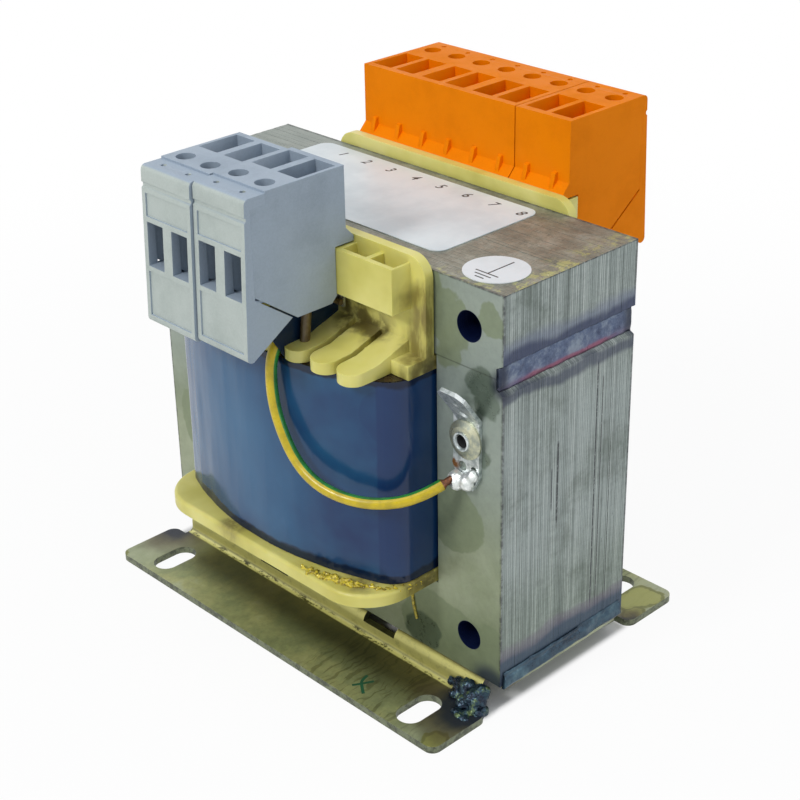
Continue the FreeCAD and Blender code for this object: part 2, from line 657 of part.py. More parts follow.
def coilSolid(name, outline, low, height):
    """A crowned block with rounded corners."""
    half, apex, shoulder, corner = outline
    body = doc.addObject("PartDesign::Body", name)
    shape = newSketch(body, f"{name}Outline", "XY_Plane", low)
    coilOutline(shape, half, apex, shoulder)
    pad(body, shape, height)
    soften(body, "Fillet", corner, lambda edge: runsAlong(edge, alongZ))
    return body


def coilLayer(name, nodeName, outer, inner):
    """One crowned tube of the coil between two outlines."""
    around = coilSolid(f"{name}Around", outer, "coilLow", "coilHeight")
    within = coilSolid(f"{name}Within", inner, "coilLow - 1", "coilHeight + 2")
    return label(removed(name, around, [within]), nodeName)


def layerAt(share, inset="0"):
    """Outline between the tube of the former (0) and the outside of the wrap (1)."""
    half = f"tubeOutY + roomY * ({share}) + ({inset})"
    apex = f"tubeOutX + firstCrown + roomX * ({share}) + ({inset})"
    shoulder = f"tubeOutX + roomS * ({share}) + ({inset})"
    return half, apex, shoulder, f"firstCorner + (coilCorner - firstCorner) * ({share})"


def coilFormer():
    """Moulded former: tube, two flanges, two boards with sockets, and guide fingers."""
    tube = box("formerTube", ("-tubeOutX", "tubeOutX"), ("-tubeOutY", "tubeOutY"),
               ("flangeLow", "flangeHighTop"))
    pieces = [tube, lowerFlange(), upperFlange()]
    for side in (-1, 1):
        pieces += [terminalBoard(side), socketRow(side)]
    solid = joined("formerSolid", pieces)
    bore = box("formerBore", ("-tubeInX", "tubeInX"), ("-tubeInY", "tubeInY"),
               ("flangeLow - 1", "flangeHighTop + 1"))
    return label(removed("coilFormer", solid, [bore]), "coil_former")


def lowerFlange():
    body = doc.addObject("PartDesign::Body", "lowerFlange")
    shape = newSketch(body, "lowerFlangeOutline", "XY_Plane", "flangeLow")
    rectangle(shape, ("-flangeReach", "flangeReach"), ("-formerHalf", "formerHalf"))
    pad(body, shape, "flangeSheet")
    soften(body, "Fillet", "flangeCorner", lambda edge: runsAlong(edge, alongZ))
    soften(body, "Fillet", "flangeSheet * 0.3", lambda edge: near(edge.BoundBox.ZMin, size("flangeLowTop")))
    return body


def upperFlange():
    """Plate in the window with wedge shaped fingers in front of each board."""
    plate = box("upperPlate", ("-flangeRoot", "flangeRoot"), ("-formerHalf", "formerHalf"),
                ("flangeHigh", "flangeHighTop"))
    pieces = [plate]
    for side in (-1, 1):
        for index in range(int(size("poleCount"))):
            middle = f"(({index} - (poleCount - 1) / 2) * polePitch)"
            pieces.append(guideFinger(side, index, middle))
    return joined("upperFlange", pieces)


def guideFinger(side, index, middle):
    name = f"finger{'In' if side < 0 else 'Out'}{index}"
    body = doc.addObject("PartDesign::Body", name)
    profile = newSketch(body, f"{name}Profile", "XZ_Plane", f"-({middle})")
    corners = [
        (f"{side} * boardInner", "flangeHigh"), (f"{side} * fingerReach", "flangeHigh"),
        (f"{side} * fingerReach", "flangeHighTop - fingerDroop"),
        (f"{side} * gussetReach", "flangeHighTop"),
        (f"{side} * boardInner", "flangeHighTop + gussetRise"),
    ]
    polygon(profile, corners)
    pad(body, profile, "fingerWidth", both=True)
    reach = size("fingerReach")
    soften(body, "Fillet", "fingerWidth * 0.48",
           lambda edge: runsAlong(edge, alongZ) and near(abs(edge.BoundBox.Center.x), reach))
    return body


def terminalBoard(side):
    name = f"board{'In' if side < 0 else 'Out'}"
    body = doc.addObject("PartDesign::Body", name)
    shape = newSketch(body, f"{name}Outline", "YZ_Plane", f"{side} * (boardInner + boardSheet / 2)")
    rectangle(shape, ("-formerHalf", "formerHalf"), ("flangeHigh", "boardTop"))
    pad(body, shape, "boardSheet", both=True)
    top = size("boardTop")
    soften(body, "Fillet", "boardCorner",
           lambda edge: runsAlong(edge, alongX) and near(edge.BoundBox.Center.z, top))
    return body


def socketRow(side):
    """A row of open cells, two to a socket, that take the solder tags."""
    name = f"sockets{'In' if side < 0 else 'Out'}"
    wall = ordered(side, "boardOuter - 0.5", "socketFront")
    row = box(name, wall, ("-socketSpan / 2", "socketSpan / 2"), ("socketLow", "socketTop"))
    cells = []
    for index in range(int(size("poleCount"))):
        start = f"(({index} - poleCount / 2) * polePitch + socketWall / 2)"
        end = f"(({index + 1} - poleCount / 2) * polePitch - socketWall / 2)"
        reach = ordered(side, "boardOuter", "socketFront - socketWall")
        cells.append(box(f"{name}Cell{index}", reach, (start, end), ("socketLow - 1", "socketTop + 1")))
    return removed(f"{name}Row", row, cells)


def ordered(side, inner, outer):
    """A span along X on one side of the core, low end first."""
    if side > 0:
        return (inner, outer)
    return (f"-({outer})", f"-({inner})")


class Block:
    """One moulded terminal block: which side it is on, its poles and its own place."""

    def __init__(self, name, node, side, firstPole, poles, kind, shifted=False):
        self.name, self.node, self.side = name, node, side
        places = range(firstPole, firstPole + poles)
        self.poles = [f"(({place} - (poleCount - 1) / 2) * polePitch)" for place in places]
        self.low = f"(({firstPole} - poleCount / 2) * polePitch + moduleGap / 2)"
        self.high = f"(({firstPole + poles} - poleCount / 2) * polePitch - moduleGap / 2)"
        self.screw = f"(blockBack + {kind}ScrewPlace)"
        self.chamber = (f"{kind}ChamberStart", f"{kind}ChamberEnd")
        self.lip = f"(coverFront - {kind}Lip)"
        self.top, self.coverTop = "blockTop", "coverTop"
        if kind == "output":
            self.top = self.coverTop = "(blockTop + outputRise)"
        self.pairShift = f"{kind}PairShift"
        self.shifted = shifted

    def place(self, feature):
        """A block that is not pushed home sits a little out and low."""
        if self.shifted:
            feature.setExpression("Placement.Base.x", linked(f"{self.side} * looseOut"))
            feature.setExpression("Placement.Base.z", linked("-looseDrop"))
        return feature

    def xs(self, inner, outer):
        return ordered(self.side, inner, outer)

    def across(self, width):
        return [(f"{pole} - ({width}) / 2", f"{pole} + ({width}) / 2") for pole in self.poles]

    def chambersAcross(self):
        """Spans of the top chambers, each moved a little towards its partner."""
        spans = []
        for index, pole in enumerate(self.poles):
            middle = f"{pole} + {1 - index % 2 * 2} * {self.pairShift}"
            spans.append((f"{middle} - chamberWidth / 2", f"{middle} + chamberWidth / 2"))
        return spans


def profileBody(block, part, corners, width=None, middle=None):
    """A body whose side view is a list of outward places and heights."""
    name = f"{block.name}{part}"
    body = doc.addObject("PartDesign::Body", name)
    centre = middle or f"({block.low} + {block.high}) / 2"
    shape = newSketch(body, f"{name}Profile", "XZ_Plane", f"-({centre})")
    polygon(shape, [(f"{block.side} * ({u})", v) for u, v in corners])
    pad(body, shape, width or f"{block.high} - {block.low}", both=True)
    return body


def blockHousing(block):
    """Housing with screwdriver holes, top chambers, clamp pockets and channels for the tags."""
    corners = [
        ("blockBack", block.top), ("blockBack", "blockStep + ledgeRise"),
        ("ledgeBack", "blockStep + ledgeNose"), ("ledgeBack", "blockStep"), ("bodyBack", "blockStep"),
        ("bodyBack", "bodyBottom + bodyChamfer"), ("bodyBack + bodyChamfer", "bodyBottom"),
        ("slopeFoot", "bodyBottom"), ("bodyFront", "slopeTop"),
        ("bodyFront", f"{block.coverTop} - coverTopSheet"),
        (block.lip, f"{block.coverTop} - coverTopSheet"), (block.lip, block.top),
    ]
    body = profileBody(block, "Housing", corners)
    name = body.Name
    chambers = newSketch(body, f"{name}Chambers", "XY_Plane", block.top)
    start, end = block.chamber
    for span in block.chambersAcross():
        rectangle(chambers, block.xs(f"blockBack + {start}", f"blockBack + {end}"), span)
    pocket(body, chambers, "chamberDepth")
    holes = newSketch(body, f"{name}ScrewHoles", "XY_Plane", block.top)
    for pole in block.poles:
        circle(holes, f"{block.side} * {block.screw}", pole, "screwHole")
    pocket(body, holes, f"{block.top} - cageTop")
    pockets = newSketch(body, f"{name}ClampPockets", "YZ_Plane", f"{block.side} * (bodyFront + 1)")
    for span in block.across("chamberWidth"):
        rectangle(pockets, span, ("cageLow - cageGap", "cageTop + cageGap"))
    depth = f"bodyFront + 1 - {block.screw} + cageLength / 2 + cageGap"
    pocket(body, pockets, depth, reverse=block.side < 0)
    channels = newSketch(body, f"{name}Channels", "XY_Plane", "tagRun + cageGap")
    for span in block.across("tagWidth + 2 * cageGap"):
        rectangle(channels, block.xs("ledgeBack - 1", block.screw), span)
    pocket(body, channels, "tagSheet + 2 * cageGap")
    if block.side > 0:
        ledgeRibs(body, block)
    return label(block.place(body), f"{block.node}_housing")


def ledgeRibs(body, block):
    """A small slanting rib over the ledge at every pole."""
    foot, back = "ledgeBack + ribInset", "blockBack + ribInset / 2"
    ledge = "blockStep + ledgeNose"
    for index, pole in enumerate(block.poles):
        shape = newSketch(body, f"{body.Name}Rib{index}", "XZ_Plane", f"-({pole})")
        polygon(shape, [
            (foot, ledge), (back, "blockStep + ledgeRise"), (back, "blockStep + ledgeRise + ribRise"),
            ("blockBack - ribCrown", "blockStep + ledgeRise + ribRise - ribDroop"),
            (foot, f"{ledge} + ribNose"),
        ])
        pad(body, shape, "ribWidth", both=True)


def blockCover(block):
    """Front cover with a top lip, a wedge shaped foot, wire entries and sunk panels."""
    slitFall = "(slopeTop - slitWidth - slopeFall * (bodyFront - slopeFoot - coverFootInset))"
    grooveTop = f"{block.coverTop} - coverGrooveDrop"
    grooveEnd = f"{grooveTop} - coverGrooveWidth"
    sunkTop, sunkEnd = f"{grooveTop} - coverGrooveSide", f"{grooveEnd} + coverGrooveSide"
    lipUnder = f"{block.coverTop} - coverTopSheet"
    corners = [
        (block.lip, block.coverTop), ("coverFront", block.coverTop), (face(grooveTop), grooveTop),
        (f"{face(sunkTop)} - coverGrooveDepth", sunkTop),
        (f"{face(sunkEnd)} - coverGrooveDepth", sunkEnd),
        (face(grooveEnd), grooveEnd), ("coverFoot", "coverBottom"),
        ("coverFoot - coverFootFlat", "coverBottom"), ("slopeFoot + coverFootInset", slitFall),
        ("bodyFront", "slopeTop - slitWidth"), ("bodyFront", lipUnder), (block.lip, lipUnder),
    ]
    body = profileBody(block, "Cover", corners)
    name = body.Name
    top, low = number(block.coverTop), size("coverBottom")

    def outerEdge(edge):
        centre = edge.BoundBox.Center
        upper = near(centre.z, top) and near(abs(centre.x), size("coverFront"))
        lower = near(centre.z, low) and near(abs(centre.x), size("coverFoot"))
        return runsAlong(edge, alongY) and (upper or lower)

    soften(body, "Fillet", "coverRound", outerEdge)
    entries = newSketch(body, f"{name}Entries", "YZ_Plane", f"{block.side} * (coverFoot + 1)")
    for span in block.across("entryWidth"):
        rectangle(entries, span, ("entryLow", "entryTop"))
    pocket(body, entries, "coverFoot + 1 - bodyFront + 0.5", reverse=block.side < 0)
    tests = newSketch(body, f"{name}TestHoles", "XY_Plane", block.coverTop)
    for pole in block.poles:
        circle(tests, f"{block.side} * (coverFront - testHoleInset)", pole, "testHole")
    pocket(body, tests, "testHoleDepth")
    # the sunk panels follow the slope of the front face
    panels = [
        (f"{block.coverTop} - panelTopDrop", "entryTop + panelMargin"),
        ("entryLow - panelMargin", "coverBottom + panelFootRise"),
    ]
    for panel, (high, bottom) in enumerate(panels):
        middle = f"-({block.low} + {block.high}) / 2"
        sunk = newSketch(body, f"{name}Panel{panel}", "XZ_Plane", middle)
        inner = [(f"{face(z)} - panelRecess", z) for z in (high, bottom)]
        outer = [("coverFoot + 1", z) for z in (bottom, high)]
        polygon(sunk, [(f"{block.side} * ({u})", v) for u, v in inner + outer])
        pocket(body, sunk, f"{block.high} - {block.low} - 2 * panelMargin", both=True)
    return label(block.place(body), f"{block.node}_cover")


def face(height):
    """Outward place of the sloping front face at a height."""
    return f"(coverFront + draftRun * (coverTop - ({height})))"


def clampCages(block):
    cages = []
    for index, pole in enumerate(block.poles):
        name = f"{block.name}Cage{index}"
        half = "(chamberWidth / 2 - cageGap)"
        reach = block.xs(f"{block.screw} - cageLength / 2", f"{block.screw} + cageLength / 2")
        outer = box(name, reach, (f"{pole} - {half}", f"{pole} + {half}"), ("cageLow", "cageTop"))
        past = block.xs(f"{block.screw} - cageLength", f"{block.screw} + cageLength")
        inner = box(f"{name}Room", past, (f"{pole} - {half} + cageWall", f"{pole} + {half} - cageWall"),
                    ("cageLow + cageWall", "cageTop - cageWall"))
        hole = cylinder(f"{name}Thread", "screwShank + 2 * threadGap", "2 * cageWall",
                        (f"{block.side} * {block.screw}", pole, "cageTop - 1.5 * cageWall"))
        cages.append(removed(f"{name}Cut", outer, [inner, hole]))
    return label(block.place(grouped(f"{block.name}Cages", cages)), f"{block.node}_clamps")


def clampScrews(block):
    screws = []
    for index, pole in enumerate(block.poles):
        name = f"{block.name}Screw{index}"
        x = f"{block.side} * {block.screw}"
        head = cylinder(f"{name}Head", "screwHead", "headHeight", (x, pole, "screwHeadTop - headHeight"))
        shank = cylinder(f"{name}Shank", "screwShank", "screwHeadTop - cageTop + shankReach",
                         (x, pole, "cageTop - shankReach"))
        cut = box(f"{name}Slot", (f"{x} - driverSlot / 2", f"{x} + driverSlot / 2"),
                  (f"{pole} - screwHead", f"{pole} + screwHead"),
                  ("screwHeadTop - driverSlotDepth", "screwHeadTop + 1"))
        screws.append(removed(f"{name}Cut", joined(f"{name}Solid", [head, shank]), [cut]))
    return label(block.place(grouped(f"{block.name}Screws", screws)), f"{block.node}_clamp_screws")


def solderTags(block):
    """Bent strips from each clamp, down through the socket to the winding leads."""
    tags = []
    clamp, under = f"{block.screw} - cageLength / 2", "tagRun - tagSheet"
    inside, outside = "tagPlace - tagSheet / 2", "tagPlace + tagSheet / 2"
    corners = [
        (clamp, "tagRun"), (inside, "tagRun"), (inside, "tagLow"),
        (outside, "tagLow"), (outside, under), (clamp, under),
    ]
    for index, pole in enumerate(block.poles):
        tags.append(profileBody(block, f"Tag{index}", corners, "tagWidth", pole))
    return label(block.place(grouped(f"{block.name}Tags", tags)), f"{block.node}_solder_tags")


def earthLug():
    """Flat lug on the core with a pointed foot and a blade that leans out."""
    body = doc.addObject("PartDesign::Body", "lugFlat")
    outline = newSketch(body, "lugOutline", "YZ_Plane", "-lugFace")
    left, right = "-lugPlace + lugWidth / 2", "-lugPlace - lugWidth / 2"
    corners = [
        (right, "lugBend"), (left, "lugBend"), (left, "rivetPlane - lugNeck"),
        (f"{left} + lugFlare", "lugLow + lugFlareRise"), (f"{left} - bladeChamfer", "lugLow"),
        ("-lugPlace - lugToe", "lugLow - lugToeDrop"), (right, "lugLow + lugHeelRise"),
    ]
    polygon(outline, corners)
    pad(body, outline, "lugSheet")
    holes = newSketch(body, "lugHoles", "YZ_Plane", "-lugFace")
    circle(holes, "-lugPlace", "rivetPlane", "rivetTube + 2 * rivetGap")
    circle(holes, "-lugPlace + wireEyeSide", "lugLow + footEyeRise", "wireEye")
    circle(holes, "-lugPlace - solderEyeSide", "lugLow + footEyeRise", "solderEye")
    pocket(body, holes, "lugSheet + 1", reverse=True)
    blade = doc.addObject("PartDesign::Body", "lugBlade")
    shape = newSketch(blade, "bladeOutline", "YZ_Plane")
    shoulder = "bladeLength - bladeChamfer"
    polygon(shape, [
        (left, "0"), (left, shoulder), (f"{left} - bladeChamfer", "bladeLength"),
        (f"{right} + bladeChamfer", "bladeLength"), (right, shoulder), (right, "0"),
    ])
    pad(blade, shape, "lugSheet", reverse=True)
    eyes = newSketch(blade, "bladeHoles", "YZ_Plane")
    circle(eyes, "-lugPlace", "bladeEyeRise", "bladeEye")
    circle(eyes, "-lugPlace", "bladePinRise", "bladePin")
    pocket(blade, eyes, "lugSheet + 1")
    blade.setExpression("Placement", linked(
        "create(<<placement>>; create(<<vector>>; -halfStack; 0; lugBend);"
        " create(<<rotation>>; create(<<vector>>; 0; 1; 0); -lugLean))"))
    return label(joined("earthLug", [body, blade]), "earth_lug")


def eyeletPart(name, diameter, length, inwards):
    """A round bar on the axis of the rivet, from a place inwards of the face of the core."""
    start = (f"-halfStack + ({inwards})", "-lugPlace", "rivetPlane")
    return cylinder(name, diameter, length, start, (alongY, -90))


def eyeletRivet():
    """Tubular rivet: a tube in the core and a rolled head on the washer."""
    tube = eyeletPart("eyeletTube", "rivetTube", "rivetDepth + lugSheet + washerRise", "rivetDepth")
    head = eyeletPart("eyeletHead", "rivetHead", "rivetRoll", "-lugSheet - washerRise")
    bore = eyeletPart("eyeletBore", "rivetHole", "rivetDepth + 4", "rivetDepth + 1")
    return label(removed("eyelet", joined("eyeletSolid", [tube, head]), [bore]), "earth_rivet")


def domedWasher():
    body = label(doc.addObject("PartDesign::Body", "domedWasher"), "earth_washer")
    shape = newSketch(body, "washerSection", "XZ_Plane")
    inner, outer = "rivetTube / 2 + rivetGap", "washerSize / 2"
    polygon(shape, [
        (inner, "0"), (outer, "0"), (outer, "washerRim"), (f"({outer}) * 0.72", "washerRise * 0.85"),
        (f"({outer}) * 0.5", "washerRise"), (inner, "washerRise"),
    ])
    turned = body.newObject("PartDesign::Revolution", "washerTurned")
    axis = next(item for item in body.Origin.OriginFeatures if item.Role == "Z_Axis")
    turned.Profile = shape
    turned.ReferenceAxis = (axis, [""])
    turned.Angle = 360
    body.Placement = Placement(Vector(), Rotation(alongY, -90))
    for axis, formula in zip("xyz", ("-lugFace", "-lugPlace", "rivetPlane")):
        body.setExpression(f"Placement.Base.{axis}", linked(formula))
    return body


def drilledCore(stack):
    """The E stack with the bore for the eyelet rivet."""
    bore = eyeletPart("rivetBore", "rivetTube + rivetGap", "rivetDepth + 1", "rivetDepth + rivetGap")
    return removed("eStackDrilled", stack, [bore])


# The earth wire leaves the groove between two fingers, drops in front of the coil
# and curves up to the foot of the lug. Places of its route, in millimetres.
earthWireRoute = [
    (-25.0, -7.0, 72.2),
    (-30.6, -7.0, 71.6),
    (-35.4, -7.6, 68.5),
    (-35.8, -7.5, 61.0),
    (-35.8, -9.2, 54.5),
    (-35.8, -13.6, 48.0),
    (-35.4, -20.0, 44.9),
    (-33.0, -27.6, 44.0),
    (-28.6, -33.4, 44.6),
    (-23.5, -36.6, 46.4),
    (-20.0, -37.9, 48.0),
]


def tangentPath(route):
    """Straight runs joined by tangent arcs as large as the shorter run allows."""
    points = [Vector(*place) for place in route]
    edges, at = [], points[0]
    for before, corner, after in zip(points, points[1:], points[2:]):
        come, leave = corner - before, after - corner
        half = come.getAngle(leave) / 2
        reach = 0.45 * min(come.Length, leave.Length)
        radius = reach / math.tan(half)
        print(f"wire bend: radius {radius:.1f} mm, turn {math.degrees(2 * half):.0f} degrees")
        come.normalize()
        leave.normalize()
        start, end = corner - come * reach, corner + leave * reach
        inward = (leave - come).normalize()
        middle = corner + inward * (radius / math.cos(half) - radius)
        edges.append(Part.LineSegment(at, start).toShape())
        edges.append(Part.Arc(start, middle, end).toShape())
        at = end
    edges.append(Part.LineSegment(at, points[-1]).toShape())
    return Part.Wire(edges)


def earthWire():
    """Insulated lead along its route."""
    path = tangentPath(earthWireRoute)
    start = Vector(*earthWireRoute[0])
    direction = (Vector(*earthWireRoute[1]) - start).normalize()
    section = Part.Wire(Part.Circle(start, direction, size("wireSize") / 2).toShape())
    tube = path.makePipeShell([section], True, False)
    expected = math.pi * (size("wireSize") / 2) ** 2 * path.Length
    print(f"wire length {path.Length:.1f} mm, volume {tube.Volume / expected:.3f} of its section by length")
    feature = label(doc.addObject("Part::Feature", "earthWire"), "earth_wire")
    feature.Shape = tube
    return feature


def solderJoint(lug, wire):
    """Solder over the end of the wire and the foot of the lug."""
    lumps = [
        (2.0, "-lugFace - 0.6", "-lugPlace + 1.6", "lugLow + 0.6"),
        (1.8, "-lugFace - 0.3", "-lugPlace - 0.6", "lugLow + 0.9"),
        (1.3, "-lugFace - 0.3", "-lugPlace - 2", "lugLow + 2.6"),
    ]
    behind = box("solderBehind", ("-halfStack", "0"), ("-halfCore", "0"), ("coreRise", "coreTop"))
    return label(removed("solderJoint", heap("solder", lumps), [lug, wire, behind]), "solder_joint")


def topLabel():
    body = label(doc.addObject("PartDesign::Body", "ratingLabel"), "rating_label")
    shape = newSketch(body, "labelOutline", "XY_Plane", "coreTop")
    rectangle(shape, ("labelPlaceX - labelWidth / 2", "labelPlaceX + labelWidth / 2"),
              ("labelPlaceY - labelLength / 2", "labelPlaceY + labelLength / 2"))
    pad(body, shape, "labelSheet")
    soften(body, "Fillet", "labelCorner", lambda edge: runsAlong(edge, alongZ))
    return body


def earthSticker():
    place = ("stickerPlaceX", "stickerPlaceY", "coreTop")
    return label(cylinder("earthSticker", "stickerSize", "labelSheet", place), "earth_sticker")


def windingLeads(block):
    """Sleeved leads from the coil, up between the fingers and over to the solder tags."""
    leads = []
    reach, beside = "tagPlace + tagSheet / 2 + leadSize / 2", "polePitch / 2 - layerGap"
    for index, pole in enumerate(block.poles):
        name = f"{block.name}Lead{index}"
        start = "flangeHighTop + looseDrop"
        x, y, top = f"{block.side} * ({reach})", f"{pole} + ({beside})", "tagLow + leadSize"
        rise = cylinder(name, "leadSize", f"{top} - ({start})", (x, y, start))
        across = cylinder(f"{name}Across", "leadSize", f"{beside} + tagWidth / 2",
                          (x, f"{pole} - tagWidth / 2", top), (alongX, -90))
        elbow = doc.addObject("Part::Sphere", f"{name}Elbow")
        elbow.setExpression("Radius", linked("leadSize / 2"))
        for axis, formula in zip("xyz", (x, y, top)):
            elbow.setExpression(f"Placement.Base.{axis}", linked(formula))
        leads.append(joined(f"{name}Bent", [rise, across, elbow]))
    return label(block.place(grouped(f"{block.name}Leads", leads)), f"{block.node}_leads")


def everyPiece():
    plate = foldedBasePlate()
    eOutline = [
        ("-halfCore", "coreRise"), ("halfCore", "coreRise"), ("halfCore", "jointPlane"),
        ("windowEdge", "jointPlane"), ("windowEdge", "windowFloor"), ("halfCentre", "windowFloor"),
        ("halfCentre", "jointPlane"), ("-halfCentre", "jointPlane"), ("-halfCentre", "windowFloor"),
        ("-windowEdge", "windowFloor"), ("-windowEdge", "jointPlane"), ("-halfCore", "jointPlane"),
    ]
    iOutline = [
        ("-halfCore", "jointPlane"), ("halfCore", "jointPlane"), ("halfCore", "coreTop"),
        ("-halfCore", "coreTop"),
    ]
    eStack = laminations("eStack", "e_stack_sheets", eOutline, "holeLow", -1)
    iStack = laminations("iStack", "i_laminations", iOutline, "holeHigh", 1)
    pieces = [plate, label(drilledCore(eStack), "e_laminations"), iStack]
    for side, word in ((-1, "right"), (1, "left")):
        pieces.append(seamWeld(side, f"{word}SeamWeld", f"{word}_seam_weld"))
        pieces.append(footWeld(side, f"{word}FootWeld", f"{word}_foot_weld"))
    pieces.append(cornerWeld(-1, "cornerWeld", "corner_weld", plate))
    pieces.append(coilFormer())
    # each layer lies between one share of the winding room and the next
    shares = ["0", "primaryShare", "primaryShare + barrierSheet / roomY", "1 - wrapSheet / roomY", "1"]
    layers = [
        ("primaryCoil", "primary_winding"), ("barrier", "winding_insulation"),
        ("secondaryCoil", "secondary_winding"), ("wrap", "outer_wrap"),
    ]
    for (name, nodeName), start, end in zip(layers, shares, shares[1:]):
        pieces.append(coilLayer(name, nodeName, layerAt(end), layerAt(start, "layerGap")))
    blocks = [
        Block("inputA", "input_block_1", -1, 4, 2, "input", shifted=True),
        Block("inputB", "input_block_2", -1, 2, 2, "input"),
        Block("outputA", "output_block_six_way", 1, 2, 6, "output"),
        Block("outputB", "output_block_two_way", 1, 0, 2, "output"),
    ]
    for block in blocks:
        for make in (blockHousing, blockCover, clampCages, clampScrews, solderTags, windingLeads):
            pieces.append(make(block))
    lug = earthLug()
    wire = earthWire()
    pieces += [lug, eyeletRivet(), domedWasher(), wire, solderJoint(lug, wire), topLabel(), earthSticker()]
    return pieces


def export(pieces):
    """Check every object, then write one file for each piece."""
    doc.recompute()
    for item in doc.Objects:
        if "Invalid" in item.State or "Error" in item.State:
            raise RuntimeError(f"{item.Label} failed: {item.State}")
    for piece in pieces:
        if piece.Shape.isNull() or not piece.Shape.isValid():
            raise RuntimeError(f"{piece.Label} has no valid shape")
    os.makedirs("parts", exist_ok=True)
    for piece in pieces:
        piece.Shape.exportStep(f"parts/{piece.Label}.step")
    print(f"{len(pieces)} pieces written")


export(everyPiece())
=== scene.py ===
import json
import math
import random

import bmesh
import bpy
from mathutils import Matrix, Vector, noise


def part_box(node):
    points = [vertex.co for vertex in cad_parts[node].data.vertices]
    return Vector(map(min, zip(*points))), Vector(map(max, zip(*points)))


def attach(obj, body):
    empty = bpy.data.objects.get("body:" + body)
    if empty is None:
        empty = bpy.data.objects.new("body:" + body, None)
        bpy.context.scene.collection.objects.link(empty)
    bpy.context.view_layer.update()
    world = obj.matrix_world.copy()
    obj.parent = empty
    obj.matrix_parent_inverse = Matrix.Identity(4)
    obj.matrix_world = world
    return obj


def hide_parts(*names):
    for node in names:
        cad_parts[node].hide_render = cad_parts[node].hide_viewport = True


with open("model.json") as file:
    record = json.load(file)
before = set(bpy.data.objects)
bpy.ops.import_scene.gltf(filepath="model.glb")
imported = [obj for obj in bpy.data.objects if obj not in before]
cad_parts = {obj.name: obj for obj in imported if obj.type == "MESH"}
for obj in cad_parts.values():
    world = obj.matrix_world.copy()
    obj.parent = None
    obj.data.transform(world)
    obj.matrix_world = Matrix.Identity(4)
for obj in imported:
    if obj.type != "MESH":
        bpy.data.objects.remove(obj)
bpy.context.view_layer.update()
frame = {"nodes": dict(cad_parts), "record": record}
nodes = frame["nodes"]
scene = bpy.context.scene
mm = 0.001
dice = random.Random(11)
print("frame loaded:", len(nodes), "nodes")


# small helpers for materials; a world takes the place of a material in them too
def linear(code):
    parts = [int(code[i:i + 2], 16) / 255 for i in (1, 3, 5)]
    return [p / 12.92 if p <= 0.04045 else ((p + 0.055) / 1.055) ** 2.4 for p in parts] + [1]


def perMm(size):
    return 1 / (size * mm)  # scale of a pattern whose features are that many mm


def inMm(row):
    return [c * mm for c in row]


def addNode(material, kind, settings=None, outlet=0):
    # settings are the node's fields and its inputs, by name or number, with values or sockets
    node = material.node_tree.nodes.new(f"ShaderNode{kind}")
    for name, value in (settings or {}).items():
        if isinstance(value, str) and value.startswith("#"):
            value = linear(value)
        if isinstance(value, bpy.types.NodeSocket):
            material.node_tree.links.new(value, node.inputs[name])
        elif name == "stops":
            ramp = node.color_ramp
            while len(ramp.elements) < len(value):
                ramp.elements.new(1)
            for element, (place, code) in zip(ramp.elements, value):
                element.position = place
                element.color = linear(code)
        elif isinstance(name, int) or name in node.inputs:
            node.inputs[name].default_value = value
        else:
            setattr(node, name, value)
    return node.outputs[outlet] if node.outputs else node


def emptied(material):
    material.use_nodes = True
    material.node_tree.nodes.clear()
    return material


def startMaterial(name, **settings):
    material = emptied(bpy.data.materials.new(name))
    settings = {key.replace("_", " "): value for key, value in settings.items()}
    shader = addNode(material, "BsdfPrincipled", settings)
    addNode(material, "OutputMaterial", {"Surface": shader})
    return material, shader.node, addNode(material, "TexCoord", {}, "Object")


def shareOf(material, *factors):
    # product of sockets, numbers and smooth steps; a step is a value, its low and high,
    # and what it gives at each, 0 and 1 unless they are said
    share = None
    for factor in factors:
        if isinstance(factor, tuple):
            value, low, high, *ends = factor
            toLow, toHigh = ends or (0.0, 1.0)
            factor = addNode(material, "MapRange", {
                "interpolation_type": "SMOOTHSTEP", 0: value, 1: low, 2: high, 3: toLow, 4: toHigh,
            })
        if share is None:
            share = factor
        else:
            share = addNode(material, "Math", {"operation": "MULTIPLY", 0: share, 1: factor})
    return share


def anyOf(material, *shares):
    # the largest of several shares
    largest = shares[0]
    for share in shares[1:]:
        largest = addNode(material, "Math", {"operation": "MAXIMUM", 0: largest, 1: share})
    return largest


def coated(material, base, *coats):
    # coats over a base colour, or over a pattern and its stops; a coat is its colour and the
    # factors of its share, after the way it mixes if it doesn't just cover
    if isinstance(base, tuple):
        base = addNode(material, "ValToRGB", {"Fac": base[0], "stops": base[1]})
    for coat in coats:
        way, colour, *factors = coat if coat[0] in ("OVERLAY", "MULTIPLY") else ("MIX", *coat)
        share = shareOf(material, *factors)
        settings = {"data_type": "RGBA", "blend_type": way, 0: share, 6: base, 7: colour}
        base = addNode(material, "Mix", settings, 2)
    return base


def clouds(material, place, *rows):
    # cloudy patterns: size of the features in mm, or a size for each axis, detail, roughness
    patterns = []
    for size, detail, roughness in rows:
        settings = {"Vector": place, "Detail": detail, "Roughness": roughness}
        if isinstance(size, tuple):
            scale = [perMm(one) for one in size]
            settings["Vector"] = addNode(material, "Mapping", {"Vector": place, "Scale": scale})
            settings["Scale"] = 1
        else:
            settings["Scale"] = perMm(size)
        patterns.append(addNode(material, "TexNoise", settings))
    return patterns


def sizeOf(material, value):
    return addNode(material, "Math", {"operation": "ABSOLUTE", 0: value})  # without its sign


def uneven(material, height, pattern, reach):
    # a height that rises and falls with a pattern, by reach mm in all
    rise = addNode(material, "Math", {"operation": "SUBTRACT", 0: pattern, 1: 0.5})
    rise = shareOf(material, rise, reach * mm)
    return addNode(material, "Math", {"operation": "ADD", 0: height, 1: rise})


